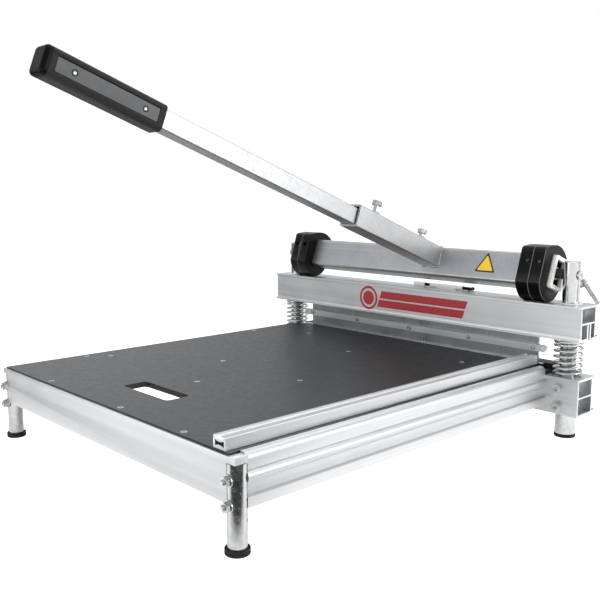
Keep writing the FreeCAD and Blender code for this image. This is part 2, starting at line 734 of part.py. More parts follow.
def stiffener_screws():
    screws = []
    for x in STIFFENER_SCREW_X:
        head = rod((x, STIFFENER_Y[0], sum(STIFFENER_Z) / 2), (0, -1, 0), 4.4, 2.4)
        head = head.cut(turned(hexagon(3.0, 1.6), (x, STIFFENER_Y[0] - 2.4, sum(STIFFENER_Z) / 2), (0, 1, 0)))
        shank = rod((x, STIFFENER_Y[0], sum(STIFFENER_Z) / 2), (0, 1, 0), 2.5, 11.0)
        screws.append(union([head, shank]))
    return group(screws)


KEY_Y = POST_Y + 18.0
KEY_AF = 6.0
KEY_Z = UPPER_BEAM_Z[1] + 4.6
KEY_X = (-4.0, 136.0)


def hex_key():
    """L-shaped key for the blade's bolts, stored on the beam."""
    long_arm = turned(hexagon(KEY_AF, KEY_X[1] - KEY_X[0]), (KEY_X[0], KEY_Y, KEY_Z), (1, 0, 0))
    short_arm = turned(hexagon(KEY_AF, 16.0), (KEY_X[1] - 1.0, KEY_Y - 8.0, KEY_Z), (0, 1, 0))
    return union([long_arm, short_arm])


def key_clips():
    """Clip block and sleeve that hold the key on top of the beam."""
    z0 = UPPER_BEAM_Z[1]
    block = soften(box(-8.0, 20.0, KEY_Y - 5, KEY_Y + 5, z0, z0 + 8.8), 1.2, (1, 0, 0))
    sleeve = rod((34.0, KEY_Y, KEY_Z), (1, 0, 0), 4.4, 82.0)
    saddle = box(50.0, 100.0, KEY_Y - 4, KEY_Y + 4, z0, z0 + 3.0)
    sleeve = union([sleeve, saddle])
    hole = turned(hexagon(KEY_AF + 0.4, 160.0), (-6.0, KEY_Y, KEY_Z), (1, 0, 0))
    return group([block.cut(hole), sleeve.cut(hole)])


def return_spring(side):
    """Coil spring round a post, with its ends ground flat."""
    z0 = LOWER_BEAM_Z[1] + 0.2
    z1 = UPPER_BEAM_Z[0] - 1.5 - 0.2
    height = z1 - z0
    pitch = (height + SPRING_WIRE_R) / SPRING_TURNS
    helix = Part.makeHelix(pitch, height + SPRING_WIRE_R, SPRING_R)
    start = Part.Wire([Part.Circle(Vec(SPRING_R, 0, 0), Vec(0, 1, 0), SPRING_WIRE_R).toShape()])
    coil = Part.Wire(helix.Edges).makePipeShell([start], True, True)
    coil.translate(Vec(side * POST_X, POST_Y, z0 - SPRING_WIRE_R / 2))
    reach = SPRING_R + 10
    keep = box(side * POST_X - reach, side * POST_X + reach, POST_Y - reach, POST_Y + reach, z0, z1)
    return coil.common(keep)


# ---------------------------------------------------------------- cam shaft and lever


def rounded_bar(x0, x1, half_s, half_v, corner):
    """Bar with rounded corners across the machine, in the lever frame."""
    return soften(box(-half_s, half_s, x0, x1, -half_v, half_v), corner, (0, 1, 0))


def cam_tube():
    outer = rounded_bar(-TUBE_HALF_X, TUBE_HALF_X, TUBE_HALF_S, TUBE_HALF_V, TUBE_CORNER)
    inner = rounded_bar(-TUBE_HALF_X - 1, TUBE_HALF_X + 1, TUBE_HALF_S - TUBE_WALL,
                        TUBE_HALF_V - TUBE_WALL, TUBE_CORNER - TUBE_WALL)
    tube = outer.cut(inner)
    for x in CAM_SCREW_X:
        for side, _ in SIDES:
            tube = tube.cut(rod((TUBE_HALF_S - 6, side * x, CAM_SCREW_V), (1, 0, 0), 2.5 + SNUG, 8))
    return on_lever(tube)


CAM_SCREW_X = ((CAM_X[0] + CAM_X[1]) / 2, (CAM_X[1] + CAM_X[2]) / 2)
CAM_SCREW_V = 10.0


def cam_outline():
    """Cam outline at rest: the beam drops evenly as the lever comes down."""

    def contact(turn):
        reach = CAM_REACH - CAM_RATE * turn
        y = reach * math.sin(turn) - CAM_RATE * math.cos(turn)
        z = -reach * math.cos(turn) - CAM_RATE * math.sin(turn)
        return Vec(0, y, z)

    steps = 12
    working = Part.BSplineCurve()
    working.interpolate([contact(CAM_TRAVEL * step / steps) for step in range(steps + 1)])
    low_rear = Vec(0, 25.6, -14.6)
    high_rear = Vec(0, 39.5, 24.0)
    top_rear = Vec(0, -8.0, 51.2)
    top_front = Vec(0, -27.0, 49.5)
    brow = Vec(0, -35.5, 40.0)
    chin = Vec(0, -53.0, -12.0)
    edges = [
        working.toShape(),
        Part.makeLine(contact(CAM_TRAVEL), low_rear),
        Part.makeLine(low_rear, high_rear),
        Part.Arc(high_rear, Vec(0, 23.0, 43.5), top_rear).toShape(),
        Part.makeLine(top_rear, top_front),
        Part.Arc(top_front, Vec(0, -33.0, 46.3), brow).toShape(),
        Part.makeLine(brow, chin),
        Part.Arc(chin, Vec(0, -43.0, -37.5), contact(0.0)).toShape(),
    ]
    return Part.Face(Part.Wire(edges))


def cam_piece(side, part):
    """One half of a two-piece cam, which clamps round the tube."""
    x0, x1 = CAM_X[part], CAM_X[part + 1]
    face = cam_outline()
    start = min(side * x0, side * x1)
    face.translate(Vec(start, POST_Y, PIVOT_Z))
    cam = face.extrude(Vec(x1 - x0, 0, 0))
    bore = rounded_bar(-TUBE_HALF_X - 2, TUBE_HALF_X + 2, TUBE_HALF_S + SNUG, TUBE_HALF_V + SNUG, TUBE_CORNER)
    cam = cam.cut(on_lever(bore))
    hole = rod((TUBE_HALF_S - 6, side * CAM_SCREW_X[part], CAM_SCREW_V), (1, 0, 0), 2.5 + SNUG, 40)
    seat = rod((36.0, side * CAM_SCREW_X[part], CAM_SCREW_V), (1, 0, 0), 5.0, 20)
    return cam.cut(on_lever(hole)).cut(on_lever(seat))


def cam_screws():
    screws = []
    for side, _ in SIDES:
        for x in CAM_SCREW_X:
            head = rod((36.0, side * x, CAM_SCREW_V), (1, 0, 0), 4.6, 3.0)
            shank = rod((TUBE_HALF_S - 4, side * x, CAM_SCREW_V), (1, 0, 0), 2.5, 36.0 - TUBE_HALF_S + 4)
            slot = box(38.0, 40.0, side * x - 4, side * x + 4, CAM_SCREW_V - 0.6, CAM_SCREW_V + 0.6)
            screws.append(on_lever(union([head, shank]).cut(slot)))
    return group(screws)


PLUG_DEPTH = 40.0
PLUG_RIM = 7.5
PLUG_HUB_R = 12.0


def end_plug(side):
    """Ribbed white plug in the tube's end, with the pivot bearing in its hub."""
    room = TUBE_WALL + 0.2
    x0 = TUBE_HALF_X - PLUG_DEPTH
    x1 = TUBE_HALF_X + PLUG_RIM
    shell = rounded_bar(x0, TUBE_HALF_X, TUBE_HALF_S - room, TUBE_HALF_V - room, 2.0)
    rim = rounded_bar(TUBE_HALF_X, x1, TUBE_HALF_S - 0.6, TUBE_HALF_V - 0.6, 6.0)
    body = union([shell, rim])
    hollow = rounded_bar(x0 + 4, x1 + 1, TUBE_HALF_S - room - 3.5, TUBE_HALF_V - room - 3.5, 2.0)
    body = body.cut(hollow)
    hub_end = x1 - PLUG_RIM + 1
    hub = rod((0, x0, 0), (0, 1, 0), PLUG_HUB_R, hub_end - x0)
    ribs = [
        box(-TUBE_HALF_S + room, TUBE_HALF_S - room, x0, hub_end - 4, -1.5, 1.5),
        box(-1.5, 1.5, x0, hub_end - 4, -TUBE_HALF_V + room, TUBE_HALF_V - room),
    ]
    body = union([body, hub] + ribs)
    body = body.cut(rod((0, x0 - 1, 0), (0, 1, 0), PIVOT_BOLT_R + RUNNING, PLUG_DEPTH + 10))
    if side < 0:
        body = body.mirror(Vec(0, 0, 0), Vec(0, 1, 0))
    return on_lever(body)


def pivot_bolts():
    """Shoulder bolts from the posts into the tube's end plugs."""
    bolts = []
    for side, _ in SIDES:
        x_in = TUBE_HALF_X - PLUG_DEPTH + 6
        x_out = POST_X + POST_R
        shank = rod((side * x_in, POST_Y, PIVOT_Z), (side, 0, 0), PIVOT_BOLT_R, x_out - x_in)
        head = rod((side * x_out, POST_Y, PIVOT_Z), (side, 0, 0), 9.0, 2.6)
        head = head.cut(turned(hexagon(5.0, 3.0), (side * (x_out + 1.2), POST_Y, PIVOT_Z), (side, 0, 0)))
        bolts.append(union([shank, head]))
    return group(bolts)


SPACER_R = 9.0


def pivot_spacers():
    """Sleeves that keep the cam shaft clear of the posts."""
    spacers = []
    for side, _ in SIDES:
        x0 = TUBE_HALF_X + 1 + GAP
        spacer = rod((side * x0, POST_Y, PIVOT_Z), (side, 0, 0), SPACER_R, POST_X - POST_R + 1.0 - x0)
        spacer = spacer.cut(rod((side * (x0 - 1), POST_Y, PIVOT_Z), (side, 0, 0), PIVOT_BOLT_R + SNUG, 40))
        spacer = spacer.cut(rod((side * POST_X, POST_Y, PIVOT_Z - 20), (0, 0, 1), POST_R + SNUG, 40))
        spacers.append(spacer)
    return group(spacers)


def square_tube(s0, s1, half, wall, v):
    """Square tube along the handle, in the lever frame."""
    outer = soften(box(s0, s1, SOCKET_X - half, SOCKET_X + half, v - half, v + half), wall * 0.9, (1, 0, 0))
    inner_half = half - wall
    inner = box(s0 - 1, s1 + 1, SOCKET_X - inner_half, SOCKET_X + inner_half, v - inner_half, v + inner_half)
    return outer.cut(inner)


CLAMP_S = (72.0, 220.0)
CLAMP_RISE = (12.0, 19.0)
CLAMP_R = 5.0
HANDLE_V = SOCKET_V - SOCKET_HALF + SOCKET_WALL + 0.5 + HANDLE_HALF


def handle_socket():
    socket = square_tube(TUBE_HALF_S, SOCKET_END, SOCKET_HALF, SOCKET_WALL, SOCKET_V)
    for s in CLAMP_S:
        socket = socket.cut(rod((s, SOCKET_X, SOCKET_V + 10), (0, 0, 1), CLAMP_R + SNUG, 20))
    return on_lever(socket)


def clamp_bolts():
    """Bolts that press the sliding handle tube to the socket's floor."""
    bolts = []
    top = SOCKET_V + SOCKET_HALF
    for s, rise in zip(CLAMP_S, CLAMP_RISE):
        tip = HANDLE_V + HANDLE_HALF + GAP
        shank = rod((s, SOCKET_X, tip), (0, 0, 1), CLAMP_R, top + rise + 1 - tip)
        head = hexagon(17.0, 8.0)
        head = head.common(Part.makeSphere(11.2, Vec(0, 0, 2.5)))
        head.translate(Vec(s, SOCKET_X, top + rise))
        bolts.append(on_lever(union([shank, head])))
    return group(bolts)


def clamp_nuts():
    nuts = []
    for s in CLAMP_S:
        nut = hexagon(17.0, 6.0)
        nut = nut.cut(rod((0, 0, -1), (0, 0, 1), CLAMP_R + SNUG, 10))
        nut.translate(Vec(s, SOCKET_X, SOCKET_V + SOCKET_HALF))
        nuts.append(on_lever(nut))
    return group(nuts)


def handle_tube():
    return on_lever(square_tube(HANDLE_START, HANDLE_END, HANDLE_HALF, HANDLE_WALL, HANDLE_V))


GRIP_SCREW_S = (745.0, 857.0)


def grip_shell(side):
    """One moulded half of the grip, with a flat panel on its outer side."""
    bar = box(GRIP_START, GRIP_END, SOCKET_X - GRIP_HALF_X, SOCKET_X + GRIP_HALF_X,
              HANDLE_V - GRIP_HALF_V, HANDLE_V + GRIP_HALF_V)
    bar = soften(bar, 8.0, (1, 0, 0))
    core = HANDLE_HALF + SNUG
    bar = bar.cut(box(GRIP_START - 1, GRIP_END + 1, SOCKET_X - core, SOCKET_X + core,
                      HANDLE_V - core, HANDLE_V + core))
    far = 30.0
    split = SOCKET_X + side * 0.1
    half = box(GRIP_START - 1, GRIP_END + 1, split, split + side * far, HANDLE_V - far, HANDLE_V + far)
    shell = bar.common(half)
    face = SOCKET_X + side * GRIP_HALF_X
    panel = box(GRIP_START + 10, GRIP_END - 8, face - side * 1.2, face + side * 1.0,
                HANDLE_V - 10.5, HANDLE_V + 10.5)
    shell = shell.cut(soften(panel, 2.0, (0, 1, 0)))
    for s in GRIP_SCREW_S:
        shell = shell.cut(rod((s, SOCKET_X, HANDLE_V), (0, side, 0), 2.0 + SNUG, 30))
        shell = shell.cut(rod((s, face - side * 3.2, HANDLE_V), (0, side, 0), 4.2, 10))
    return on_lever(shell)


def grip_end_cap():
    cap = box(GRIP_END, GRIP_END + CAP_LEN, SOCKET_X - GRIP_HALF_X, SOCKET_X + GRIP_HALF_X,
              HANDLE_V - GRIP_HALF_V, HANDLE_V + GRIP_HALF_V)
    cap = soften(cap, 8.0, (1, 0, 0))
    far = GRIP_END + CAP_LEN
    rim = [edge for edge in cap.Edges
           if abs(edge.BoundBox.XMin - far) < 0.01 and abs(edge.BoundBox.XMax - far) < 0.01]
    return on_lever(cap.makeFillet(6.0, rim))


def grip_screws():
    screws = []
    for side, _ in SIDES:
        face = SOCKET_X + side * GRIP_HALF_X
        for s in GRIP_SCREW_S:
            head = rod((s, face - side * 3.2, HANDLE_V), (0, side, 0), 3.8, 2.0)
            depth = GRIP_HALF_X - 3.2 - HANDLE_HALF - SNUG
            shank = rod((s, face - side * 3.2, HANDLE_V), (0, -side, 0), 2.0, depth)
            slot_a = box(s - 3, s + 3, face - side * 1.8, face, HANDLE_V - 0.5, HANDLE_V + 0.5)
            slot_b = box(s - 0.5, s + 0.5, face - side * 1.8, face, HANDLE_V - 3, HANDLE_V + 3)
            screws.append(on_lever(union([head, shank]).cut(slot_a).cut(slot_b)))
    return group(screws)


# ---------------------------------------------------------------- transport hook

HOOK_Z = 281.7
HOOK_SCREW_R = 3.0
HOOK_ROD_R = 4.0
HOOK_EYE = 4.6
HOOK_SLOPE = 52.0
HOOK_Y = POST_Y + 39.0


def transport_hook():
    """Bent rod with an eye, hung behind the right post."""
    bend = 9.0
    turn_x = POST_X + 1.0
    slope = math.radians(HOOK_SLOPE)
    centre = Vec(turn_x, HOOK_Y, HOOK_Z - bend)
    eye = rod((POST_X, HOOK_Y - HOOK_EYE, HOOK_Z), (0, 1, 0), 8.0, 2 * HOOK_EYE)
    upper = rod((POST_X, HOOK_Y, HOOK_Z), (1, 0, 0), HOOK_ROD_R, turn_x - POST_X)
    circle = Part.Circle(Vec(turn_x, HOOK_Y, HOOK_Z), Vec(1, 0, 0), HOOK_ROD_R).toShape()
    corner = Part.Face(Part.Wire(circle)).revolve(centre, Vec(0, 1, 0), HOOK_SLOPE)
    turn_z = HOOK_Z - bend + bend * math.cos(slope)
    far_x = turn_x + bend * math.sin(slope)
    tail = rod((far_x, HOOK_Y, turn_z), (math.cos(slope), 0, -math.sin(slope)), HOOK_ROD_R, 40.0)
    bore = rod((POST_X, HOOK_Y - 6, HOOK_Z), (0, 1, 0), HOOK_SCREW_R + RUNNING, 12)
    return union([eye, upper, corner, tail]).cut(bore)


def hook_screw():
    """Shoulder screw and spacer that carry the hook."""
    start = POST_Y + 4.0
    end = HOOK_Y + HOOK_EYE + GAP
    shank = rod((POST_X, start, HOOK_Z), (0, 1, 0), HOOK_SCREW_R, end - start)
    head = rod((POST_X, end, HOOK_Z), (0, 1, 0), 5.5, 3.0)
    head = head.cut(turned(hexagon(3.0, 2.0), (POST_X, end + 1.2, HOOK_Z), (0, 1, 0)))
    inner_y = POST_Y + POST_R - 1.0
    spacer = rod((POST_X, inner_y, HOOK_Z), (0, 1, 0), 5.5, HOOK_Y - HOOK_EYE - GAP - inner_y)
    spacer = spacer.cut(rod((POST_X, POST_Y, HOOK_Z - 20), (0, 0, 1), POST_R + SNUG, 40))
    return union([shank, head, spacer])


# ---------------------------------------------------------------- write the pieces


def pieces():
    """Every node's name and shape."""
    nodes = {
        "front_feet": front_feet(),
        "rear_feet": rear_feet(),
        "leg_studs": leg_studs(),
        "leg_nuts": leg_nuts(),
        "leg_washers": leg_washers(),
        "front_apron": front_apron(),
        "rail_end_screws": rail_end_screws(),
        "lower_beam": lower_beam(),
        "post_screws": post_screws(),
        "work_board": work_board(),
        "board_screws": board_screws(),
        "board_bearers": board_bearers(),
        "fence": fence(),
        "fence_screws": fence_screws(),
        "cutting_bed": cutting_bed(),
        "bed_screws": bed_screws(),
        "anvil_strip": anvil_strip(),
        "anvil_screws": anvil_screws(),
        "upper_beam": upper_beam(),
        "blade": blade(),
        "blade_bolts": blade_bolts(),
        "blade_stiffener": blade_stiffener(),
        "stiffener_screws": stiffener_screws(),
        "hex_key": hex_key(),
        "key_clips": key_clips(),
        "cam_tube": cam_tube(),
        "cam_screws": cam_screws(),
        "pivot_bolts": pivot_bolts(),
        "pivot_spacers": pivot_spacers(),
        "handle_socket": handle_socket(),
        "clamp_bolts": clamp_bolts(),
        "clamp_nuts": clamp_nuts(),
        "handle_tube": handle_tube(),
        "grip_end_cap": grip_end_cap(),
        "grip_screws": grip_screws(),
        "transport_hook": transport_hook(),
        "hook_screw": hook_screw(),
    }
    for side, name in SIDES:
        nodes["front_leg_" + name] = front_leg(side)
        nodes["guide_post_" + name] = guide_post(side)
        nodes["rear_leg_sleeve_" + name] = rear_leg_sleeve(side)
        nodes["side_rail_" + name] = side_rail(side)
        nodes["guide_bushes_" + name] = guide_bushes(side)
        nodes["return_spring_" + name] = return_spring(side)
        nodes["cam_inner_" + name] = cam_piece(side, 0)
        nodes["cam_outer_" + name] = cam_piece(side, 1)
        nodes["tube_plug_" + name] = end_plug(side)
        nodes["grip_shell_" + name] = grip_shell(side)
    return nodes


def main():
    os.makedirs("parts", exist_ok=True)
    whole = None
    for name, shape in sorted(pieces().items()):
        shape.translate(Vec(0, 0, -GROUND_Z))
        if not shape.isValid():
            print("not valid:", name)
        shape.exportStep("parts/" + name + ".step")
        bounds = shape.BoundBox
        whole = FreeCAD.BoundBox(bounds) if whole is None else whole.united(bounds)
    print("middle x, y:", round(whole.Center.x, 2), round(whole.Center.y, 2))
    print("size:", round(whole.XLength, 1), round(whole.YLength, 1), round(whole.ZLength, 1))


main()
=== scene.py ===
import json
import math

import bmesh
import bpy
from bpy.props import FloatProperty, FloatVectorProperty, IntProperty, PointerProperty, StringProperty
from mathutils import Matrix, Vector


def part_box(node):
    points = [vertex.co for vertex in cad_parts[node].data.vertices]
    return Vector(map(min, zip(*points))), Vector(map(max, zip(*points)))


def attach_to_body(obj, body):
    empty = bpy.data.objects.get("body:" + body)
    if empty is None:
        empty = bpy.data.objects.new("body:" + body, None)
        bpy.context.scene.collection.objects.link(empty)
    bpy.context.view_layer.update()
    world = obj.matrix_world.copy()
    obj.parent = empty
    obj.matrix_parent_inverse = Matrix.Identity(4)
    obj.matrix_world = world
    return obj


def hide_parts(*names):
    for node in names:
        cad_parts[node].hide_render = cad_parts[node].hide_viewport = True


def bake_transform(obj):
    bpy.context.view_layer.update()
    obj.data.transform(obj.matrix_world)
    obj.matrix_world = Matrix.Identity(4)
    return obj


bl_info = {
    "name": "Guillotine Plank Cutter",
    "version": (1, 0, 0),
    "blender": (4, 5, 0),
    "location": "View3D > Sidebar > Plank Cutter",
    "description": "Finishes, rounds and dresses the plank cutter around its packed frame",
    "category": "Object",
}

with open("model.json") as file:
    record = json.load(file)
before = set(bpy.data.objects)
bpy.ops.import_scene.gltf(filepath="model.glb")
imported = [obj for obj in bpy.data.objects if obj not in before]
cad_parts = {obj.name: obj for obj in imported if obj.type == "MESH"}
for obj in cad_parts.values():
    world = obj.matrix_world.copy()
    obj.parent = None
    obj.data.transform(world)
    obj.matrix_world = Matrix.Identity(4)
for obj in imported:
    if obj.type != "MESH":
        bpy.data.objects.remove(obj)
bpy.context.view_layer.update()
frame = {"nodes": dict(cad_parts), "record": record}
RECORD = frame["record"]
BODY_OF = {node: body for body, nodes in RECORD["behaviour"]["bodies"].items() for node in nodes}
SLOT_OF = {part["node"]: part["material_slot"] for part in RECORD["subparts"]}
JOINTS = {joint["name"]: joint for joint in RECORD["behaviour"]["joints"]}


def lever_frame():
    """Matrix of the lever: x out along the handle, y across it, z square to both."""
    along = Vector(JOINTS["handle_extend"]["axis"]).normalized()
    across = Vector((1, 0, 0))
    turned = Matrix((along, across, along.cross(across))).transposed().to_4x4()
    return Matrix.Translation(Vector(JOINTS["handle_lift"]["pos_m"])) @ turned


LEVER = lever_frame()


def handle_centre():
    """Place of the handle tube's middle across and above the pivot line, and the grip's width."""
    low, high = [Vector(corner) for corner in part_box("grip_end_cap")]
    middle = LEVER.inverted() @ ((low + high) / 2)
    return middle.y, middle.z, high.x - low.x


# In metres, and in the lever's frame: X across the handle and V above it.
GRIP_X, HANDLE_V, GRIP_WIDTH = handle_centre()
TUBE_FACE = 0.022  # the cam tube's front face, from the pivot line
SOCKET_V = 0.009  # the handle socket's middle on that face
TRIANGLE_X, TRIANGLE_V = 0.1935, -0.0008  # the yellow label's middle on it

BEAM_LIP = 0.0035  # how far the upper beam's lips stand out past its face
CAM_LIPS = (0.3033, 0.3268)  # from the machine's middle: a cam's split line and its outer edge, where pale lines are painted on as highlights
PLUG_SHADE_FADE = (0.3285, 0.3325)  # from the middle: where the painted shade inside a plug fades into its rim


# ---------------------------------------------------------------- settings


class CutterSizes(bpy.types.PropertyGroup):
    """Sizes of what is added to the frame."""

    extrusion_corner: FloatProperty(
        name="Extrusion corners", description="Corner radius on the aluminium profiles",
        default=0.0006, unit="LENGTH")
    steel_corner: FloatProperty(
        name="Steel corners", description="Corner radius on cut steel pieces",
        default=0.0004, unit="LENGTH")
    moulding_corner: FloatProperty(
        name="Moulding corners", description="Corner radius on the moulded cams",
        default=0.0022, unit="LENGTH")
    spring_wire: FloatProperty(
        name="Spring wire", description="Radius of the return springs' wire",
        default=0.0024, unit="LENGTH")
    spring_turns: IntProperty(
        name="Open turns", description="Turns of a return spring that stand apart", default=5)
    thread_pitch: FloatProperty(
        name="Thread pitch", description="Distance between the threads on studs",
        default=0.00125, unit="LENGTH")
    label_thickness: FloatProperty(
        name="Label thickness", description="Thickness of the printed film",
        default=0.00015, unit="LENGTH")
    bead_radius: FloatProperty(
        name="Weld bead", description="Radius of the weld round the handle socket",
        default=0.0022, unit="LENGTH")


class CutterColours(bpy.types.PropertyGroup):
    """Colours, as sRGB hex."""

    aluminium: StringProperty(name="Aluminium", description="Extruded profiles", default="#DADCDD")
    aluminium_dark: StringProperty(
        name="Aluminium, darker", description="Die lines", default="#C6C8CA")
    zinc: StringProperty(
        name="Zinc plate", description="Legs, posts and small hardware", default="#DDDEDD")
    tube: StringProperty(
        name="Tube steel", description="Lever, socket and cam tube", default="#C9CBCC")
    blade: StringProperty(name="Blade steel", description="Blade plate", default="#A6A8AB")
    board: StringProperty(name="Board film", description="Film on the work board", default="#26272A")
    board_edge: StringProperty(
        name="Board edge", description="Sealed edge of the work board", default="#262423")
    nylon: StringProperty(
        name="Moulded nylon", description="Cams and their spacers", default="#080808")
    grip: StringProperty(name="Grip", description="Grip shells", default="#060606")
    grip_panel: StringProperty(
        name="Grip panel", description="Inlay in the grip's sides", default="#3C3D3E")
    acetal: StringProperty(name="White plastic", description="Plugs, bushes, clips", default="#EDEDEA")
    rubber: StringProperty(name="Rubber", description="Feet", default="#121213")
    oxide: StringProperty(name="Black oxide", description="Hex key", default="#1E1E20")
    label_red: StringProperty(
        name="Label red", description="Ring and stripes on the beam", default="#A80F1C")
    label_yellow: StringProperty(
        name="Label yellow", description="Triangle on the tube", default="#F0C21A")
    floor: StringProperty(name="Floor", description="Studio floor", default="#EEEEEE")


class CutterStudio(bpy.types.PropertyGroup):
    """Camera and lights."""

    camera_place: FloatVectorProperty(
        name="Camera", description="Camera from the foot of the right front leg",
        default=(0.7273, -0.5726, 0.4431), subtype="TRANSLATION")
    camera_turn: FloatProperty(
        name="Turn", description="Camera's turn about the upright",
        default=math.radians(47.003), unit="ROTATION")
    camera_dip: FloatProperty(
        name="Dip", description="Camera's angle below the level",
        default=math.radians(7.843), unit="ROTATION")
    lens: FloatProperty(name="Lens", description="Focal length in millimetres", default=47.25)
    wall: FloatProperty(name="White walls", description="Strength of the walls", default=1.0)
    room_front: FloatProperty(
        name="Room, front", description="Sheen from the front of the room", default=0.62)
    room_back: FloatProperty(
        name="Room, back", description="Sheen from the back of the room", default=0.8)
    front_panel: FloatProperty(
        name="Front panel", description="Power of the front softbox", default=12.0)
    right_panel: FloatProperty(
        name="Right panel", description="Power of the right softbox", default=20.0)
    top_panel: FloatProperty(
        name="Top panel", description="Power of the overhead softbox", default=12.0)


def sizes():
    """The scene's sizes."""
    return bpy.context.scene.cutter_sizes


def colours():
    """The scene's colours."""
    return bpy.context.scene.cutter_colours


# ---------------------------------------------------------------- materials


def linear(code):
    """sRGB hex to linear red, green, blue and a full alpha."""
    parts = [int(code[i:i + 2], 16) / 255 for i in (1, 3, 5)]
    return [c / 12.92 if c <= 0.04045 else ((c + 0.055) / 1.055) ** 2.4 for c in parts] + [1.0]


def add(tree, kind, inputs=None, **settings):
    """Add a node with its settings; an input takes a value or another node's output."""
    made = tree.nodes.new(kind)
    for name, value in settings.items():
        setattr(made, name, value)
    for name, value in (inputs or {}).items():
        if isinstance(value, bpy.types.NodeSocket):
            tree.links.new(value, made.inputs[name])
        else:
            made.inputs[name].default_value = value
    return made


def begin(name, inputs):
    """New material, its node tree, its shader and its Object coordinates."""
    made = bpy.data.materials.new(name)
    made.use_nodes = True
    tree = made.node_tree
    shader = tree.nodes["Principled BSDF"]
    for key, value in inputs.items():
        shader.inputs[key].default_value = value
    place = add(tree, "ShaderNodeTexCoord").outputs["Object"]
    return made, tree, shader, place


def blend_colours(tree, share, first, second):
    """Two colours mixed by a share from 0 to 1; each is a hex code or another node's output."""
    ends = {name: linear(colour) if isinstance(colour, str) else colour
            for name, colour in (("A", first), ("B", second))}
    return add(tree, "ShaderNodeMix", {"Factor": share, **ends}, data_type="RGBA").outputs["Result"]


def spread(tree, value, low, high, start=0.3, end=0.7):
    """Map a pattern's value from one range to another."""
    inputs = {"Value": value, "From Min": start, "From Max": end, "To Min": low, "To Max": high}
    return add(tree, "ShaderNodeMapRange", inputs).outputs["Result"]


def pattern(tree, place, scale, detail, roughness, stretch=(1, 1, 1)):
    """Noise of so many cells to the metre, stretched along an axis."""
    mapped = add(tree, "ShaderNodeMapping", {"Vector": place, "Scale": [scale * s for s in stretch]})
    inputs = {
        "Vector": mapped.outputs["Vector"], "Scale": 1.0, "Detail": detail, "Roughness": roughness}
    return add(tree, "ShaderNodeTexNoise", inputs).outputs["Fac"]


def relief(tree, shader, height, depth):
    """Raise the surface by a pattern, to a depth in metres."""
    bump = add(tree, "ShaderNodeBump", {"Height": height, "Strength": 1.0, "Distance": depth})
    tree.links.new(bump.outputs["Normal"], shader.inputs["Normal"])


def edge_wear_and_highlight_share(tree):
    """Share that rises on outward corners: partly where handling wears a surface, partly a painted
    highlight where corners catch the light.
    """
    point = add(tree, "ShaderNodeNewGeometry").outputs["Pointiness"]
    return spread(tree, point, 0.0, 1.0, 0.53, 0.62)


def roughen(tree, shader, broad, fine):
    """Roughness as the sum of a broad pattern and a fine one."""
    total = add(tree, "ShaderNodeMath", {0: broad, 1: fine}, operation="ADD").outputs[0]
    tree.links.new(total, shader.inputs["Roughness"])


def off_middle(tree, place):
    """Distance from the machine's middle plane, in metres."""
    across = add(tree, "ShaderNodeSeparateXYZ", {"Vector": place}).outputs["X"]
    return add(tree, "ShaderNodeMath", {0: across}, operation="ABSOLUTE").outputs[0]


def mill_aluminium(axis):
    """Extruded 6063, left as it came from the die.

    The die leaves lines about 0.7 mm apart along the bar, drawn here at 1.6 mm so that
    they show. The eye gets a soft sheen that streaks along the length, with faint stains.
    """
    made, tree, shader, place = begin(
        "Mill-finish aluminium, drawn along " + "XYZ"[axis], {"Metallic": 1.0, "Roughness": 0.4})
    stretch = [1.0, 1.0, 1.0]
    stretch[axis] = 0.006
    lines = pattern(tree, place, 620, 4.0, 0.6, stretch)
    bands = pattern(tree, place, 90, 2.0, 0.5, stretch)
    stains = pattern(tree, place, 14, 4.0, 0.6)
    streaks = add(tree, "ShaderNodeMath", {0: lines, 1: bands, 2: 0.2}, operation="MULTIPLY_ADD").outputs[0]
    share = spread(tree, streaks, 0.0, 1.0, 0.3, 0.62)
    tone = blend_colours(tree, share, colours().aluminium_dark, colours().aluminium)
    # Outward corners painted paler: partly wear, partly a painted highlight.
    edge_wear_and_highlight_tone = blend_colours(tree, edge_wear_and_highlight_share(tree), tone, "#F2F3F4")
    tree.links.new(edge_wear_and_highlight_tone, shader.inputs["Base Color"])
    roughen(tree, shader, spread(tree, stains, 0.34, 0.46), spread(tree, lines, -0.05, 0.05))
    relief(tree, shader, lines, 0.00003)
    return made


def zinc_plate(name, roughness, depth):
    """Bright zinc on drawn steel: mirror-like, clouded in patches of 3 to 10 mm."""
    made, tree, shader, place = begin(name, {"Metallic": 1.0, "Roughness": roughness})
    clouds = pattern(tree, place, 140, 4.0, 0.6)
    marks = pattern(tree, place, 900, 3.0, 0.6, (1, 1, 0.12))
    tone = blend_colours(tree, spread(tree, clouds, 0.0, 1.0), "#C3C5C5", colours().zinc)
    tree.links.new(tone, shader.inputs["Base Color"])
    dulled = spread(tree, clouds, roughness * 0.7, roughness * 1.3)
    roughen(tree, shader, dulled, spread(tree, marks, -0.04, 0.06))
    relief(tree, shader, marks, depth)
    return made


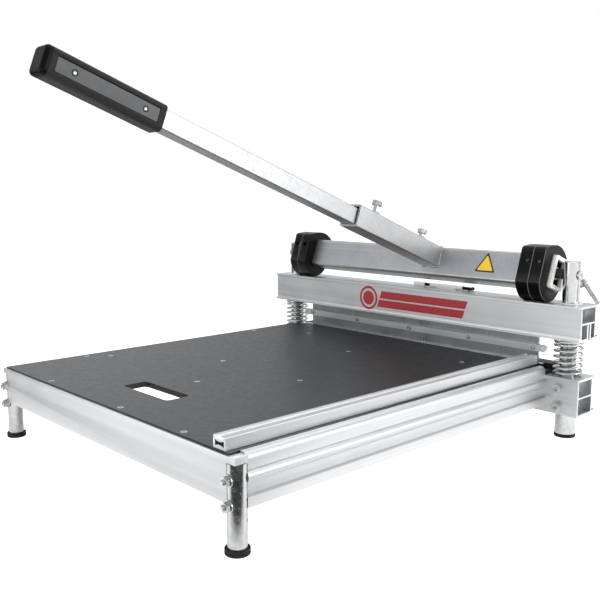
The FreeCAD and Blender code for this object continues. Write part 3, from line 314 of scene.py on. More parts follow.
def galvanised_tube():
    """Pre-galvanised square tube: a flat grey sheen with crystals some 5 mm across."""
    made, tree, shader, place = begin(
        "Pre-galvanised tube steel", {"Metallic": 1.0, "Roughness": 0.42})
    crystals = add(tree, "ShaderNodeTexVoronoi", {"Vector": place, "Scale": 210.0, "Randomness": 1.0})
    fine = pattern(tree, place, 1500, 3.0, 0.6)
    clouds = pattern(tree, place, 22, 3.0, 0.55)
    grey = add(tree, "ShaderNodeSeparateColor", {"Color": crystals.outputs["Color"]}).outputs["Red"]
    by_crystal = spread(tree, grey, 0.0, 0.35, 0.0, 1.0)
    by_cloud = spread(tree, clouds, 0.1, 0.65)
    share = add(tree, "ShaderNodeMath", {0: by_crystal, 1: by_cloud}, operation="ADD").outputs[0]
    tone = blend_colours(tree, share, colours().tube, "#B4B6B8")
    # Outward corners painted paler: partly wear, partly a painted highlight.
    edge_wear_and_highlight_tone = blend_colours(tree, edge_wear_and_highlight_share(tree), tone, "#E9EAEB")
    tree.links.new(edge_wear_and_highlight_tone, shader.inputs["Base Color"])
    roughen(tree, shader, spread(tree, grey, 0.36, 0.46, 0.0, 1.0), spread(tree, fine, -0.04, 0.04))
    relief(tree, shader, fine, 0.000025)
    return made


def ground_steel(name, colour, axis, roughness):
    """Surface-ground tool steel: fine straight scratches, drawn 1 mm apart so that they show."""
    made, tree, shader, place = begin(name, {"Metallic": 1.0, "Roughness": roughness})
    stretch = [1.0, 1.0, 1.0]
    stretch[axis] = 0.02
    scratches = pattern(tree, place, 1000, 3.0, 0.65, stretch)
    haze = pattern(tree, place, 18, 3.0, 0.5)
    dark = "#" + "".join("%02X" % max(0, int(colour[i:i + 2], 16) - 12) for i in (1, 3, 5))
    tone = blend_colours(tree, spread(tree, scratches, 0.0, 1.0), dark, colour)
    tree.links.new(tone, shader.inputs["Base Color"])
    hazed = spread(tree, haze, roughness - 0.05, roughness + 0.08)
    roughen(tree, shader, hazed, spread(tree, scratches, -0.04, 0.04))
    relief(tree, shader, scratches, 0.000008)
    return made


def faced_board():
    """Birch plywood under a phenolic film: a tight pebble of about 2 mm, dull, with pale scuffs.

    Toward the near left corner the film is painted paler, a painted sheen, and is made shinier.
    Its sawn edges are sealed with a browner, rougher paint.
    """
    made, tree, shader, place = begin("Phenolic-faced plywood", {"Roughness": 0.5, "IOR": 1.5})
    pebble = pattern(tree, place, 420, 2.0, 0.5)
    mottle = pattern(tree, place, 95, 4.0, 0.65)
    cloud = pattern(tree, place, 9, 3.0, 0.5)
    axes = add(tree, "ShaderNodeSeparateXYZ", {"Vector": place}).outputs
    inputs = {0: axes["X"], 1: 0.7, 2: axes["Y"]}
    from_corner = add(tree, "ShaderNodeMath", inputs, operation="MULTIPLY_ADD").outputs[0]
    # Painted sheen: the film is painted paler toward the near left corner.
    painted_highlight_share = spread(tree, from_corner, 0.62, 0.0, -0.45, 0.3)
    scuffs = pattern(tree, place, 60, 5.0, 0.7, (1.0, 0.12, 1.0))
    film = blend_colours(tree, spread(tree, mottle, 0.0, 1.0, 0.35, 0.65), "#161718", colours().board)
    film = blend_colours(tree, spread(tree, cloud, 0.0, 0.35), film, "#2A2B2D")
    # Paler toward the near left corner: a painted sheen.
    film = blend_colours(tree, painted_highlight_share, film, "#545557")
    film = blend_colours(tree, spread(tree, scuffs, 0.0, 0.45, 0.62, 0.78), film, "#56575A")
    normal = add(tree, "ShaderNodeNewGeometry").outputs["True Normal"]
    upright = add(tree, "ShaderNodeSeparateXYZ", {"Vector": normal}).outputs["Z"]
    top = add(tree, "ShaderNodeMath", {0: upright, 1: 0.6}, operation="GREATER_THAN").outputs[0]
    grain = pattern(tree, place, 700, 3.0, 0.6, (0.05, 0.05, 1.0))
    edge = blend_colours(tree, spread(tree, grain, 0.0, 1.0), "#1A1817", colours().board_edge)
    tree.links.new(blend_colours(tree, top, edge, film), shader.inputs["Base Color"])
    tree.links.new(spread(tree, mottle, 0.34, 0.46), shader.inputs["Roughness"])
    tree.links.new(spread(tree, from_corner, 0.6, 0.1, -0.3, 0.3), shader.inputs["Specular IOR Level"])
    relief(tree, shader, pebble, 0.00012)
    return made


def moulded(name, colour, roughness, grain, depth, edge_wear_and_highlight_tone="#3A3A3C", density=1.4):
    """Plastic or rubber from a spark-eroded mould.

    The eye gets an even, fine leathery grain, paler on outward corners: partly wear from handling, partly a
    painted highlight where the corners catch the light.
    """
    made, tree, shader, place = begin(name, {"Roughness": roughness, "IOR": density})
    pits = pattern(tree, place, grain, 2.0, 0.5)
    dust = pattern(tree, place, 45, 4.0, 0.6)
    # Outward corners painted paler: partly wear, partly a painted highlight.
    tree.links.new(blend_colours(tree, edge_wear_and_highlight_share(tree), colour, edge_wear_and_highlight_tone), shader.inputs["Base Color"])
    tree.links.new(spread(tree, dust, roughness - 0.06, roughness + 0.08), shader.inputs["Roughness"])
    relief(tree, shader, pits, depth)
    return made


def cam_nylon():
    """Black nylon of the cams, with pale lines painted on as highlights where the two halves meet and end,
    and paler corners, partly wear and partly painted highlight.
    """
    made, tree, shader, place = begin("Moulded black nylon", {"Roughness": 0.3, "IOR": 1.27})
    pits = pattern(tree, place, 1300, 2.0, 0.5)
    dust = pattern(tree, place, 45, 4.0, 0.6)
    reach = off_middle(tree, place)
    painted_highlight_share = edge_wear_and_highlight_share(tree)
    for lip in CAM_LIPS:
        offset = add(tree, "ShaderNodeMath", {0: reach, 1: lip}, operation="SUBTRACT").outputs[0]
        apart = add(tree, "ShaderNodeMath", {0: offset}, operation="ABSOLUTE").outputs[0]
        # A pale band along each line: a painted highlight.
        line = spread(tree, apart, 0.75, 0.0, 0.0004, 0.0012)
        painted_highlight_share = add(tree, "ShaderNodeMath", {0: painted_highlight_share, 1: line}, operation="MAXIMUM").outputs[0]
    tone = blend_colours(tree, painted_highlight_share, colours().nylon, "#6E6F71")
    tree.links.new(tone, shader.inputs["Base Color"])
    tree.links.new(spread(tree, dust, 0.24, 0.38), shader.inputs["Roughness"])
    relief(tree, shader, pits, 0.00006)
    return made


def end_plug():
    """White polypropylene, painted dark past the rim: painted shade deep in the plug's cells."""
    made, tree, shader, place = begin(
        "White polypropylene, painted shade inside", {"Roughness": 0.4, "IOR": 1.5})
    speckle = pattern(tree, place, 240, 4.0, 0.6)
    inputs = {0: speckle, 1: 0.003, 2: off_middle(tree, place)}
    ragged = add(tree, "ShaderNodeMath", inputs, operation="MULTIPLY_ADD").outputs[0]
    # Painted shade: all that lies deeper than the rim is painted dark.
    share = spread(tree, ragged, 0.0, 1.0, *PLUG_SHADE_FADE)
    tone = blend_colours(tree, share, "#1E1D1B", colours().acetal)
    tree.links.new(tone, shader.inputs["Base Color"])
    relief(tree, shader, speckle, 0.00004)
    return made


def printed_film(name, colour):
    """Printed vinyl label: even ink under a clear coat that follows the metal's grain a little."""
    made, tree, shader, place = begin(name, {
        "Roughness": 0.35, "IOR": 1.5, "Coat Weight": 0.3, "Coat Roughness": 0.2})
    ink = pattern(tree, place, 300, 3.0, 0.6)
    tone = blend_colours(tree, spread(tree, ink, 0.0, 0.03), colour, "#F0F0F0")
    tree.links.new(tone, shader.inputs["Base Color"])
    relief(tree, shader, ink, 0.00002)
    return made


def pale_floor():
    """Light table of the studio: matt acrylic lit from below.

    A dark patch beyond the right front leg and a darkening to the far left are seen only in reflections:
    they paint a dark reflection down the legs and shade on the metal to the left, and the camera sees the
    table white. Metal sees only part of the table's own light, less to the left and none from the patch.
    """
    made, tree, shader, place = begin("Backlit matt acrylic", {
        "Roughness": 0.8, "IOR": 1.3, "Emission Color": linear("#FFFFFF")})
    axes = add(tree, "ShaderNodeSeparateXYZ", {"Vector": place}).outputs
    inputs = {0: axes["Y"], 1: -0.79, 2: -0.565}
    ahead = add(tree, "ShaderNodeMath", inputs, operation="MULTIPLY_ADD").outputs[0]
    reach = add(tree, "ShaderNodeMath", {0: axes["X"], 1: ahead}, operation="ADD").outputs[0]
    # A dark patch beyond the right front leg, seen only in reflections: a painted dark reflection down the
    # front legs.
    patch_edge_noise = pattern(tree, place, 40, 3.0, 0.5)
    inputs = {0: patch_edge_noise, 1: 0.05, 2: reach}
    ragged = add(tree, "ShaderNodeMath", inputs, operation="MULTIPLY_ADD").outputs[0]
    near = spread(tree, ragged, 0.0, 1.0, 0.06, 0.19)
    far = spread(tree, ragged, 1.0, 0.0, 0.75, 0.95)
    reflected_dark_patch = add(tree, "ShaderNodeMath", {0: near, 1: far}, operation="MULTIPLY").outputs[0]
    # Painted shade toward the far left, seen only in reflections.
    left = spread(tree, axes["X"], 0.8, 0.0, -1.1, -0.2)
    share = add(tree, "ShaderNodeMath", {0: reflected_dark_patch, 1: left}, operation="MAXIMUM").outputs[0]
    tone = blend_colours(tree, share, colours().floor, "#1C1C1C")
    tree.links.new(tone, shader.inputs["Base Color"])
    gloss = add(tree, "ShaderNodeLightPath").outputs["Is Glossy Ray"]
    beyond = spread(tree, axes["X"], 1.0, 0.7, -0.7, 0.1)
    hidden = add(tree, "ShaderNodeMath", {0: reflected_dark_patch, 1: beyond}, operation="MAXIMUM").outputs[0]
    lost = add(tree, "ShaderNodeMath", {0: gloss, 1: hidden}, operation="MULTIPLY").outputs[0]
    glow = add(tree, "ShaderNodeMath", {0: 1.0, 1: lost}, operation="SUBTRACT").outputs[0]
    tree.links.new(glow, shader.inputs["Emission Strength"])
    return made


FINISHES = {
    "aluminium_x": lambda: mill_aluminium(0),
    "aluminium_y": lambda: mill_aluminium(1),
    "zinc_tube": lambda: zinc_plate("Zinc-plated drawn tube", 0.2, 0.00002),
    "ground_bar": lambda: zinc_plate("Chromed ground bar", 0.14, 0.00001),
    "zinc_hardware": lambda: zinc_plate("Zinc-plated hardware", 0.24, 0.00003),
    "spring_wire": lambda: zinc_plate("Zinc-plated spring wire", 0.22, 0.00002),
    "tube": galvanised_tube,
    "blade": lambda: ground_steel("Ground tool steel", colours().blade, 2, 0.32),
    "shear_edge": lambda: ground_steel("Ground bright steel", "#CDCECF", 0, 0.28),
    "oxide": lambda: ground_steel("Black-oxide steel", colours().oxide, 0, 0.4),
    "board": faced_board,
    "nylon": cam_nylon,
    "bed": lambda: moulded("Black polyethylene bar", "#1C1C1D", 0.5, 800, 0.00005),
    "grip": lambda: moulded(
        "Moulded grip rubber", colours().grip, 0.34, 1500, 0.00006, "#5A5A5C", 1.2),
    "panel": lambda: moulded(
        "Moulded grey inlay", colours().grip_panel, 0.34, 1800, 0.00004, "#8A8B8D"),
    "acetal": lambda: moulded("White acetal", colours().acetal, 0.38, 900, 0.00003, "#F6F6F4"),
    "plug": end_plug,
    "cup": lambda: moulded("Matt black nylon", "#040404", 0.6, 1300, 0.00002, "#070707"),
    "rubber": lambda: moulded("Moulded rubber", colours().rubber, 0.62, 900, 0.0001, "#2C2C2D"),
    "red": lambda: printed_film("Red printed vinyl", colours().label_red),
    "yellow": lambda: printed_film("Yellow printed vinyl", colours().label_yellow),
    "black": lambda: printed_film("Black printed vinyl", "#141414"),
    "floor": pale_floor,
}
MADE = {}


def finish(name):
    """A finish by its short name, made the first time that it is asked for."""
    if name not in MADE:
        MADE[name] = FINISHES[name]()
    return MADE[name]


# ---------------------------------------------------------------- meshes

MERGE = 0.000004  # a CAD node's triangles share no corners; corners this close are one


def publish(shape, name, finish_name, sharp=35.0):
    """Turn a bmesh into an object at the origin, smooth but for its sharp corners."""
    mesh = bpy.data.meshes.new(name)
    shape.to_mesh(mesh)
    shape.free()
    mesh.materials.append(finish(finish_name))
    mesh.shade_smooth()
    mesh.set_sharp_from_angle(angle=math.radians(sharp))
    piece = bpy.data.objects.new(name, mesh)
    bpy.context.scene.collection.objects.link(piece)
    return piece


def attach(piece, body, slot, *nodes):
    """Let a piece ride on a body, in place of CAD nodes if any are named."""
    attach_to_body(piece, body)
    if nodes:
        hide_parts(*nodes)


def round_corners(piece, radius, segments=2):
    """Give a piece's sharp corners a small radius, and keep its flat faces flat to the light."""
    bevel = piece.modifiers.new("Rounded corners", "BEVEL")
    bevel.width = radius
    bevel.segments = segments
    bevel.limit_method = "ANGLE"
    bevel.angle_limit = math.radians(40.0)
    level = piece.modifiers.new("Flat faces stay flat", "WEIGHTED_NORMAL")
    level.weight = 100
    level.keep_sharp = True


def dress(node, finish_name, radius=0.0, segments=2):
    """Give a CAD node its finish; with a radius, a copy with rounded corners stands for it."""
    source = frame["nodes"][node]
    if radius <= 0.0:
        source.data.materials.clear()
        source.data.materials.append(finish(finish_name))
        return
    shape = bmesh.new()
    shape.from_mesh(source.data)
    bmesh.ops.remove_doubles(shape, verts=shape.verts, dist=MERGE)
    flat = math.radians(0.4)
    bmesh.ops.dissolve_limit(shape, angle_limit=flat, verts=shape.verts, edges=shape.edges)
    piece = publish(shape, "dressed_" + node, finish_name)
    round_corners(piece, radius, segments)
    attach(piece, BODY_OF[node], SLOT_OF[node], node)


def joined_to(verts):
    """The given vertices and all that edges join to them."""
    found = set(verts)
    reach = list(found)
    while reach:
        for edge in reach.pop().link_edges:
            for vert in edge.verts:
                if vert not in found:
                    found.add(vert)
                    reach.append(vert)
    return found


def lathe(shape, profile, place, segments=32):
    """Turn a profile of (radius, height) points about the z axis of a matrix."""
    verts = [shape.verts.new((radius, 0, height)) for radius, height in profile]
    edges = [shape.edges.new(pair) for pair in zip(verts, verts[1:])]
    spun = bmesh.ops.spin(shape, geom=verts + edges, cent=(0, 0, 0), axis=(0, 0, 1), dvec=(0, 0, 0),
                          angle=math.tau, steps=segments, use_merge=True, use_duplicate=False)
    last = [v for v in spun["geom_last"] if isinstance(v, bmesh.types.BMVert)]
    turned = joined_to(last + verts)
    bmesh.ops.remove_doubles(shape, verts=list(turned), dist=0.000001)
    alive = [v for v in turned if v.is_valid]
    bmesh.ops.transform(shape, matrix=place, verts=alive)
    faces = list({face for vert in alive for face in vert.link_faces})
    bmesh.ops.recalc_face_normals(shape, faces=faces)


def aim(point, direction):
    """Matrix at a point whose z axis points along a direction."""
    turn = Vector(direction).to_track_quat("Z", "Y").to_matrix().to_4x4()
    return Matrix.Translation(Vector(point)) @ turn


def threads(radius, start, end, pitch):
    """Outline of a thread between two heights."""
    points = []
    height = start
    while height + pitch <= end + 1e-9:
        points += [(radius - pitch * 0.5, height), (radius, height + pitch * 0.5)]
        height += pitch
    return points + [(radius - pitch * 0.5, height)]


def solids_of(node):
    """Lowest and highest corner of every separate solid in a CAD node."""
    shape = bmesh.new()
    shape.from_mesh(frame["nodes"][node].data)
    bmesh.ops.remove_doubles(shape, verts=shape.verts, dist=MERGE)
    corners = []
    left = set(shape.verts)
    while left:
        found = joined_to([next(iter(left))])
        left -= found
        low = Vector([min(v.co[i] for v in found) for i in range(3)])
        high = Vector([max(v.co[i] for v in found) for i in range(3)])
        corners.append((low, high))
    shape.free()
    return sorted(corners, key=lambda pair: tuple(pair[0]))


# ---------------------------------------------------------------- operators


class CUTTER_OT_legs(bpy.types.Operator):
    """Legs, guide posts, sleeves and their rubber feet"""

    bl_idname = "cutter.legs"
    bl_label = "Legs and Feet"

    def execute(self, context):
        for side in ("left", "right"):
            dress("front_leg_" + side, "zinc_tube")
            dress("guide_post_" + side, "ground_bar")
            dress("rear_leg_sleeve_" + side, "zinc_tube", sizes().steel_corner)
        dress("front_feet", "rubber", sizes().steel_corner * 0.5)
        dress("rear_feet", "rubber", sizes().steel_corner * 0.5)
        return {"FINISHED"}


class CUTTER_OT_frame(bpy.types.Operator):
    """Apron, side rails, lower beam and the bearers under the board"""

    bl_idname = "cutter.frame"
    bl_label = "Frame"

    def execute(self, context):
        corner = sizes().extrusion_corner
        dress("front_apron", "aluminium_x", corner)
        dress("side_rail_left", "aluminium_y", corner)
        dress("side_rail_right", "aluminium_y", corner)
        dress("lower_beam", "aluminium_x", corner)
        dress("board_bearers", "zinc_tube", corner)
        return {"FINISHED"}


class CUTTER_OT_table(bpy.types.Operator):
    """Work board, fence, cutting bed and shear edge"""

    bl_idname = "cutter.table"
    bl_label = "Table"

    def execute(self, context):
        dress("work_board", "board", sizes().extrusion_corner)
        dress("fence", "aluminium_y", sizes().extrusion_corner * 0.7)
        dress("cutting_bed", "bed", sizes().steel_corner)
        dress("anvil_strip", "shear_edge", sizes().steel_corner * 0.6)
        return {"FINISHED"}


class CUTTER_OT_blade_beam(bpy.types.Operator):
    """Upper beam, blade, stiffener bar, bushes and the key on top"""

    bl_idname = "cutter.blade_beam"
    bl_label = "Blade Beam"

    def execute(self, context):
        dress("upper_beam", "aluminium_x", sizes().extrusion_corner)
        dress("blade", "blade", 0.0002, 1)
        dress("blade_stiffener", "aluminium_x", sizes().extrusion_corner)
        for side in ("left", "right"):
            dress("guide_bushes_" + side, "acetal", sizes().steel_corner)
        dress("hex_key", "oxide", sizes().steel_corner)
        dress("key_clips", "acetal", sizes().steel_corner)
        return {"FINISHED"}


class CUTTER_OT_springs(bpy.types.Operator):
    """Return springs, which on the cutter stretch as the blade beam rises; these coils are built at rest
    and are not made to stretch
    """

    bl_idname = "cutter.springs"
    bl_label = "Return Springs"

    def execute(self, context):
        wire = sizes().spring_wire
        steps = 36
        closed = wire * 2.02
        for side in ("left", "right"):
            node = "return_spring_" + side
            low, high = [Vector(corner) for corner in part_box(node)]
            middle = (low + high) / 2
            reach = (high.y - low.y) / 2 - wire
            shape = bmesh.new()
            turn = Matrix.Translation((reach, 0, wire)) @ Matrix.Rotation(math.pi / 2, 4, "X")
            circle = bmesh.ops.create_circle(shape, segments=12, radius=wire, matrix=turn)
            geom = circle["verts"] + list({e for v in circle["verts"] for e in v.link_edges})
            first = [e for e in geom if isinstance(e, bmesh.types.BMEdge)]
            open_pitch = (high.z - low.z - 2 * wire - 2 * closed) / sizes().spring_turns
            for turns, pitch in ((1, closed), (sizes().spring_turns, open_pitch), (1, closed)):
                for _ in range(turns):
                    spun = bmesh.ops.spin(shape, geom=geom, cent=(0, 0, 0), axis=(0, 0, 1),
                                          dvec=(0, 0, pitch / steps), angle=math.tau, steps=steps)
                    geom = spun["geom_last"]
            last = [e for e in geom if isinstance(e, bmesh.types.BMEdge)]
            bmesh.ops.contextual_create(shape, geom=first)
            bmesh.ops.contextual_create(shape, geom=last)
            bmesh.ops.translate(shape, vec=(middle.x, middle.y, low.z), verts=shape.verts)
            bmesh.ops.recalc_face_normals(shape, faces=shape.faces)
            piece = publish(shape, "coil_" + side, "spring_wire")
            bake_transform(piece)
            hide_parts(node)
        return {"FINISHED"}


class CUTTER_OT_cam_shaft(bpy.types.Operator):
    """Cam tube, the moulded cams on its ends, plugs and spacers"""

    bl_idname = "cutter.cam_shaft"
    bl_label = "Cam Shaft"

    def execute(self, context):
        dress("cam_tube", "tube", sizes().steel_corner)
        for side in ("left", "right"):
            dress("cam_inner_" + side, "nylon", sizes().moulding_corner, 3)
            dress("cam_outer_" + side, "nylon", sizes().moulding_corner, 3)
            dress("tube_plug_" + side, "plug", sizes().steel_corner)
        dress("pivot_spacers", "nylon", sizes().steel_corner)
        return {"FINISHED"}


class CUTTER_OT_lever(bpy.types.Operator):
    """Handle socket with its weld, the sliding handle tube and the grip"""

    bl_idname = "cutter.lever"
    bl_label = "Lever and Grip"

    def weld(self):
        """Ripples of weld where the socket meets the cam tube."""
        low, high = solids_of("handle_socket")[0]
        middle = (low.x + high.x) / 2
        half = (high.x - low.x) / 2
        radius = sizes().bead_radius
        out = TUBE_FACE + 0.0002 + radius * 0.35
        ripples = 12
        squash = Matrix.Diagonal((0.8, 1.0, 1.0, 1.0))
        corners = [(-half, -half), (half, -half), (half, half), (-half, half)]
        shape = bmesh.new()
        for (x0, v0), (x1, v1) in zip(corners, corners[1:] + corners[:1]):
            for step in range(ripples):
                share = (step + 0.5) / ripples
                across = middle + x0 + (x1 - x0) * share
                up = SOCKET_V + v0 + (v1 - v0) * share
                place = LEVER @ Matrix.Translation((out, across, up))
                ball = bmesh.ops.create_icosphere(shape, subdivisions=2, radius=radius)
                bmesh.ops.transform(shape, matrix=place @ squash, verts=ball["verts"])
        attach(publish(shape, "socket_weld", "zinc_hardware"), "lever", SLOT_OF["handle_socket"])

    def panels(self):
        """Grey inlays set in the flat sides of the grip."""
        start, end = 0.7225, 0.8835
        thick, height = 0.0008, 0.0202
        size = Matrix.Diagonal((end - start, thick, height, 1.0))
        for side, name in ((-1, "left"), (1, "right")):
            low, high = solids_of("grip_shell_" + name)[0]
            edge = low.x if side < 0 else high.x
            place = LEVER @ Matrix.Translation(((start + end) / 2, edge - side * thick, HANDLE_V))
            shape = bmesh.new()
            bmesh.ops.create_cube(shape, size=1.0)
            bmesh.ops.transform(shape, matrix=size, verts=shape.verts)
            corners = [e for e in shape.edges
                       if abs(e.verts[0].co.y - e.verts[1].co.y) > thick / 2]
            bmesh.ops.bevel(shape, geom=corners, offset=0.0019, segments=4, profile=0.5,
                            affect="EDGES", material=-1)
            bmesh.ops.transform(shape, matrix=place, verts=shape.verts)
            piece = publish(shape, "grip_panel_" + name, "panel")
            round_corners(piece, 0.00025)
            attach(piece, "handle", SLOT_OF["grip_shell_" + name])

    def grip_heads(self):
        """Bright screw heads in black cups, one cup round each screw of the grip."""
        face = GRIP_WIDTH / 2
        seat = face - 0.0031
        ring = [(0.0029, seat), (0.0046, seat), (0.0046, face - 0.0002), (0.0042, face),
                (0.0033, face), (0.0029, face - 0.0004), (0.0029, seat)]
        dome = [(0, seat), (0.0028, seat), (0.0028, face - 0.0004), (0.0024, face - 0.0001), (0, face)]
        heads = bmesh.new()
        cups = bmesh.new()
        for low, high in solids_of("grip_screws"):
            middle = LEVER.inverted() @ ((low + high) / 2)
            side = 1 if middle.y > GRIP_X else -1
            turn = Matrix.Rotation(-side * math.pi / 2, 4, "X")
            place = LEVER @ Matrix.Translation((middle.x, GRIP_X, HANDLE_V)) @ turn
            lathe(cups, ring, place)
            lathe(heads, dome, place)
        attach(publish(cups, "grip_cups", "cup"), "handle", SLOT_OF["grip_shell_left"])
        heads = publish(heads, "grip_screw_heads", "zinc_hardware")
        attach(heads, "handle", SLOT_OF["grip_screws"], "grip_screws")

    def execute(self, context):
        dress("handle_socket", "tube", sizes().steel_corner)
        dress("handle_tube", "tube", sizes().steel_corner * 0.6)
        self.weld()
        for side in ("left", "right"):
            dress("grip_shell_" + side, "grip", 0.0006)
        dress("grip_end_cap", "grip", 0.0005)
        self.panels()
        self.grip_heads()
        return {"FINISHED"}


class CUTTER_OT_hardware(bpy.types.Operator):
    """Nuts, studs, screws, clamp bolts and the transport hook"""

    bl_idname = "cutter.hardware"
    bl_label = "Hardware"

    def studs(self):
        """Threaded studs through the front legs."""
        radius = 0.004
        chamfer = 0.0006
        thread_end = 0.0133
        shape = bmesh.new()
        for low, high in solids_of("leg_studs"):
            middle = (low + high) / 2
            length = high.y - low.y
            profile = [(0, 0), (radius - 2 * chamfer, 0), (radius - chamfer, chamfer)]
            profile += threads(radius, 0.0008, thread_end, sizes().thread_pitch)
            profile += [(radius, 0.015), (radius, length), (0, length)]
            lathe(shape, profile, aim((middle.x, low.y, middle.z), (0, 1, 0)), 20)
        studs = publish(shape, "threaded_studs", "zinc_hardware", 25.0)
        attach(studs, "base", SLOT_OF["leg_studs"], "leg_studs")

    def execute(self, context):
        self.studs()
        for node in ("leg_nuts", "post_screws", "pivot_bolts", "clamp_bolts", "clamp_nuts"):
            dress(node, "zinc_hardware", sizes().steel_corner)
        dress("board_screws", "zinc_hardware", sizes().steel_corner * 0.5)
        for node in ("leg_washers", "rail_end_screws", "fence_screws", "anvil_screws", "bed_screws",
                     "blade_bolts", "stiffener_screws", "cam_screws", "hook_screw", "transport_hook"):
            dress(node, "zinc_hardware")
        return {"FINISHED"}


class CUTTER_OT_labels(bpy.types.Operator):
    """Plain red ring and stripes on the beam, plain yellow triangle on the cam tube"""

    bl_idname = "cutter.labels"
    bl_label = "Labels"

    def film(self, shape, name, finish_name, place, body, slot):
        """Give a flat outline its thickness and put it on its face."""
        bmesh.ops.solidify(shape, geom=shape.faces, thickness=sizes().label_thickness)
        bmesh.ops.recalc_face_normals(shape, faces=shape.faces)
        bmesh.ops.transform(shape, matrix=place, verts=shape.verts)
        attach(publish(shape, name, finish_name), body, slot)

    def ring(self, upright):
        """Red disc in a red ring."""
        outer_radius, inner_radius, disc_radius = 0.0255, 0.0205, 0.0155
        shape = bmesh.new()
        bmesh.ops.create_circle(shape, cap_ends=False, segments=64, radius=outer_radius)
        outer = list(shape.edges)
        inner = bmesh.ops.create_circle(shape, cap_ends=False, segments=64, radius=inner_radius)
        inside = list({e for v in inner["verts"] for e in v.link_edges})
        bmesh.ops.bridge_loops(shape, edges=outer + inside)
        bmesh.ops.create_circle(shape, cap_ends=True, segments=48, radius=disc_radius)
        place = upright @ Matrix.Translation((-0.097, 0, 0))
        self.film(shape, "label_ring", "red", place, "blade_carriage", SLOT_OF["upper_beam"])

    def stripes(self, upright):
        """Two red stripes that lean to the right."""
        width, height, apart = 0.222, 0.016, 0.019
        lean = Matrix.Identity(4)
        lean[0][1] = 0.35
        size = Matrix.Diagonal((width, height, 1, 1))
        shape = bmesh.new()
        for offset in (apart / 2, -apart / 2):
            grid = bmesh.ops.create_grid(shape, x_segments=1, y_segments=1, size=0.5)
            shift = Matrix.Translation((width / 2, offset, 0))
            bmesh.ops.transform(shape, matrix=lean @ shift @ size, verts=grid["verts"])
        place = upright @ Matrix.Translation((-0.066, 0, 0))
        self.film(shape, "label_stripes", "red", place, "blade_carriage", SLOT_OF["upper_beam"])

    def triangle(self, name, finish_name, radius, lift):
        """Triangle with round corners, apex up, so far off the cam tube's face."""
        facing = Matrix(((0, 0, 1, 0), (1, 0, 0, 0), (0, 1, 0, 0), (0, 0, 0, 1)))
        shape = bmesh.new()
        bmesh.ops.create_circle(shape, cap_ends=True, segments=3, radius=radius)
        bmesh.ops.bevel(shape, geom=shape.verts, offset=radius * 0.14, segments=5, profile=0.5,
                        affect="VERTICES", material=-1)
        place = LEVER @ Matrix.Translation((TUBE_FACE + lift, TRIANGLE_X, TRIANGLE_V)) @ facing
        self.film(shape, name, finish_name, place, "lever", SLOT_OF["cam_tube"])

    def execute(self, context):
        low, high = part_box("upper_beam")
        face = low[1] + BEAM_LIP - 0.0001
        middle = Matrix.Translation((0, face, (low[2] + high[2]) / 2))
        upright = middle @ Matrix.Rotation(math.pi / 2, 4, "X")
        self.ring(upright)
        self.stripes(upright)
        self.triangle("label_triangle_edge", "black", 0.0266, 0.0001)
        self.triangle("label_triangle", "yellow", 0.0205, 0.00022)
        return {"FINISHED"}


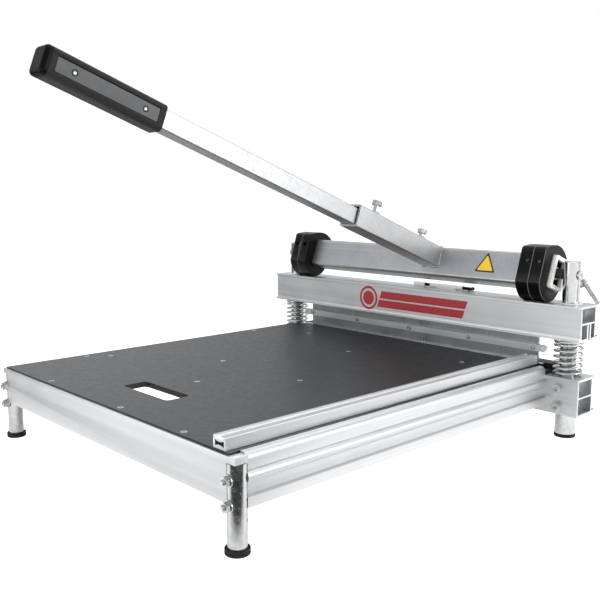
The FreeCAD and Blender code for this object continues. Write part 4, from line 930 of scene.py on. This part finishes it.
class CUTTER_OT_stage(bpy.types.Operator):
    """Pale floor, softboxes, room light and camera"""

    bl_idname = "cutter.stage"
    bl_label = "Studio"

    def panel(self, name, place, target, width, height, power):
        """One softbox, aimed at a point."""
        lamp = bpy.data.lights.new(name, "AREA")
        lamp.shape = "RECTANGLE"
        lamp.size = width
        lamp.size_y = height
        lamp.energy = power
        made = bpy.data.objects.new(name, lamp)
        made.location = place
        made.rotation_euler = (Vector(target) - Vector(place)).to_track_quat("-Z", "Y").to_euler()
        bpy.context.scene.collection.objects.link(made)

    def execute(self, context):
        studio = context.scene.cutter_studio
        shape = bmesh.new()
        bmesh.ops.create_grid(shape, x_segments=1, y_segments=1, size=30.0)
        floor = publish(shape, "floor", "floor")

        self.panel("Front softbox", (-0.9, -2.5, 0.6), (0.2, 0.2, 0.2), 1.4, 1.2, studio.front_panel)
        self.panel("Right softbox", (2.6, 1.3, 0.9), (0, 0.1, 0.3), 1.6, 1.3, studio.right_panel)
        self.panel("Top softbox", (0.2, 0.9, 2.4), (0, 0, 0), 2.0, 2.0, studio.top_panel)
        self.room(studio)
        self.camera(studio)
        context.scene.view_settings.view_transform = "Standard"
        return {"FINISHED"}

    def room(self, studio):
        """White walls, which metal sees a little darker, and darkest toward the front."""
        world = bpy.data.worlds.new("Studio room")
        world.use_nodes = True
        bpy.context.scene.world = world
        tree = world.node_tree
        room = tree.nodes["Background"]
        toward = add(tree, "ShaderNodeTexCoord").outputs["Generated"]
        back = add(tree, "ShaderNodeSeparateXYZ", {"Vector": toward}).outputs["Y"]
        shade = spread(tree, back, studio.room_front, studio.room_back, -0.45, 0.15)
        room.inputs["Color"].default_value = linear("#F6F8FA")
        tree.links.new(shade, room.inputs["Strength"])
        wall = add(tree, "ShaderNodeBackground", {"Color": linear("#FFFFFF"), "Strength": studio.wall})
        gloss = add(tree, "ShaderNodeLightPath").outputs["Is Glossy Ray"]
        mix = add(tree, "ShaderNodeMixShader", {0: gloss, 1: wall.outputs[0], 2: room.outputs[0]})
        tree.links.new(mix.outputs[0], tree.nodes["World Output"].inputs["Surface"])

    def camera(self, studio):
        """Camera, placed from the foot of the right front leg."""
        low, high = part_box("front_leg_right")
        foot = Vector(((low[0] + high[0]) / 2, (low[1] + high[1]) / 2, 0))
        data = bpy.data.cameras.new("Camera")
        data.lens = studio.lens
        data.sensor_width = 36.0
        camera = bpy.data.objects.new("Camera", data)
        camera.location = foot + Vector(studio.camera_place)
        camera.rotation_euler = (math.pi / 2 - studio.camera_dip, 0, studio.camera_turn)
        bpy.context.scene.collection.objects.link(camera)
        bpy.context.scene.camera = camera


STEPS = (
    CUTTER_OT_legs,
    CUTTER_OT_frame,
    CUTTER_OT_table,
    CUTTER_OT_blade_beam,
    CUTTER_OT_springs,
    CUTTER_OT_cam_shaft,
    CUTTER_OT_lever,
    CUTTER_OT_hardware,
    CUTTER_OT_labels,
    CUTTER_OT_stage,
)


class CUTTER_PT_panel(bpy.types.Panel):
    """Sizes, colours and one button for each group of pieces"""

    bl_idname = "CUTTER_PT_panel"
    bl_label = "Plank Cutter"
    bl_space_type = "VIEW_3D"
    bl_region_type = "UI"
    bl_category = "Plank Cutter"

    def draw(self, context):
        scene = context.scene
        for group in (scene.cutter_sizes, scene.cutter_colours, scene.cutter_studio):
            box = self.layout.box()
            for name in group.bl_rna.properties.keys():
                if name not in ("rna_type", "name"):
                    box.prop(group, name)
        for step in STEPS:
            self.layout.operator(step.bl_idname)


CLASSES = (CutterSizes, CutterColours, CutterStudio) + STEPS + (CUTTER_PT_panel,)


def register():
    for cls in CLASSES:
        bpy.utils.register_class(cls)
    bpy.types.Scene.cutter_sizes = PointerProperty(type=CutterSizes)
    bpy.types.Scene.cutter_colours = PointerProperty(type=CutterColours)
    bpy.types.Scene.cutter_studio = PointerProperty(type=CutterStudio)


def unregister():
    del bpy.types.Scene.cutter_sizes
    del bpy.types.Scene.cutter_colours
    del bpy.types.Scene.cutter_studio
    for cls in reversed(CLASSES):
        bpy.utils.unregister_class(cls)


def main():
    register()
    bpy.ops.cutter.legs()
    bpy.ops.cutter.frame()
    bpy.ops.cutter.table()
    bpy.ops.cutter.blade_beam()
    bpy.ops.cutter.springs()
    bpy.ops.cutter.cam_shaft()
    bpy.ops.cutter.lever()
    bpy.ops.cutter.hardware()
    bpy.ops.cutter.labels()
    bpy.ops.cutter.stage()


if __name__ == "__main__":
    main()
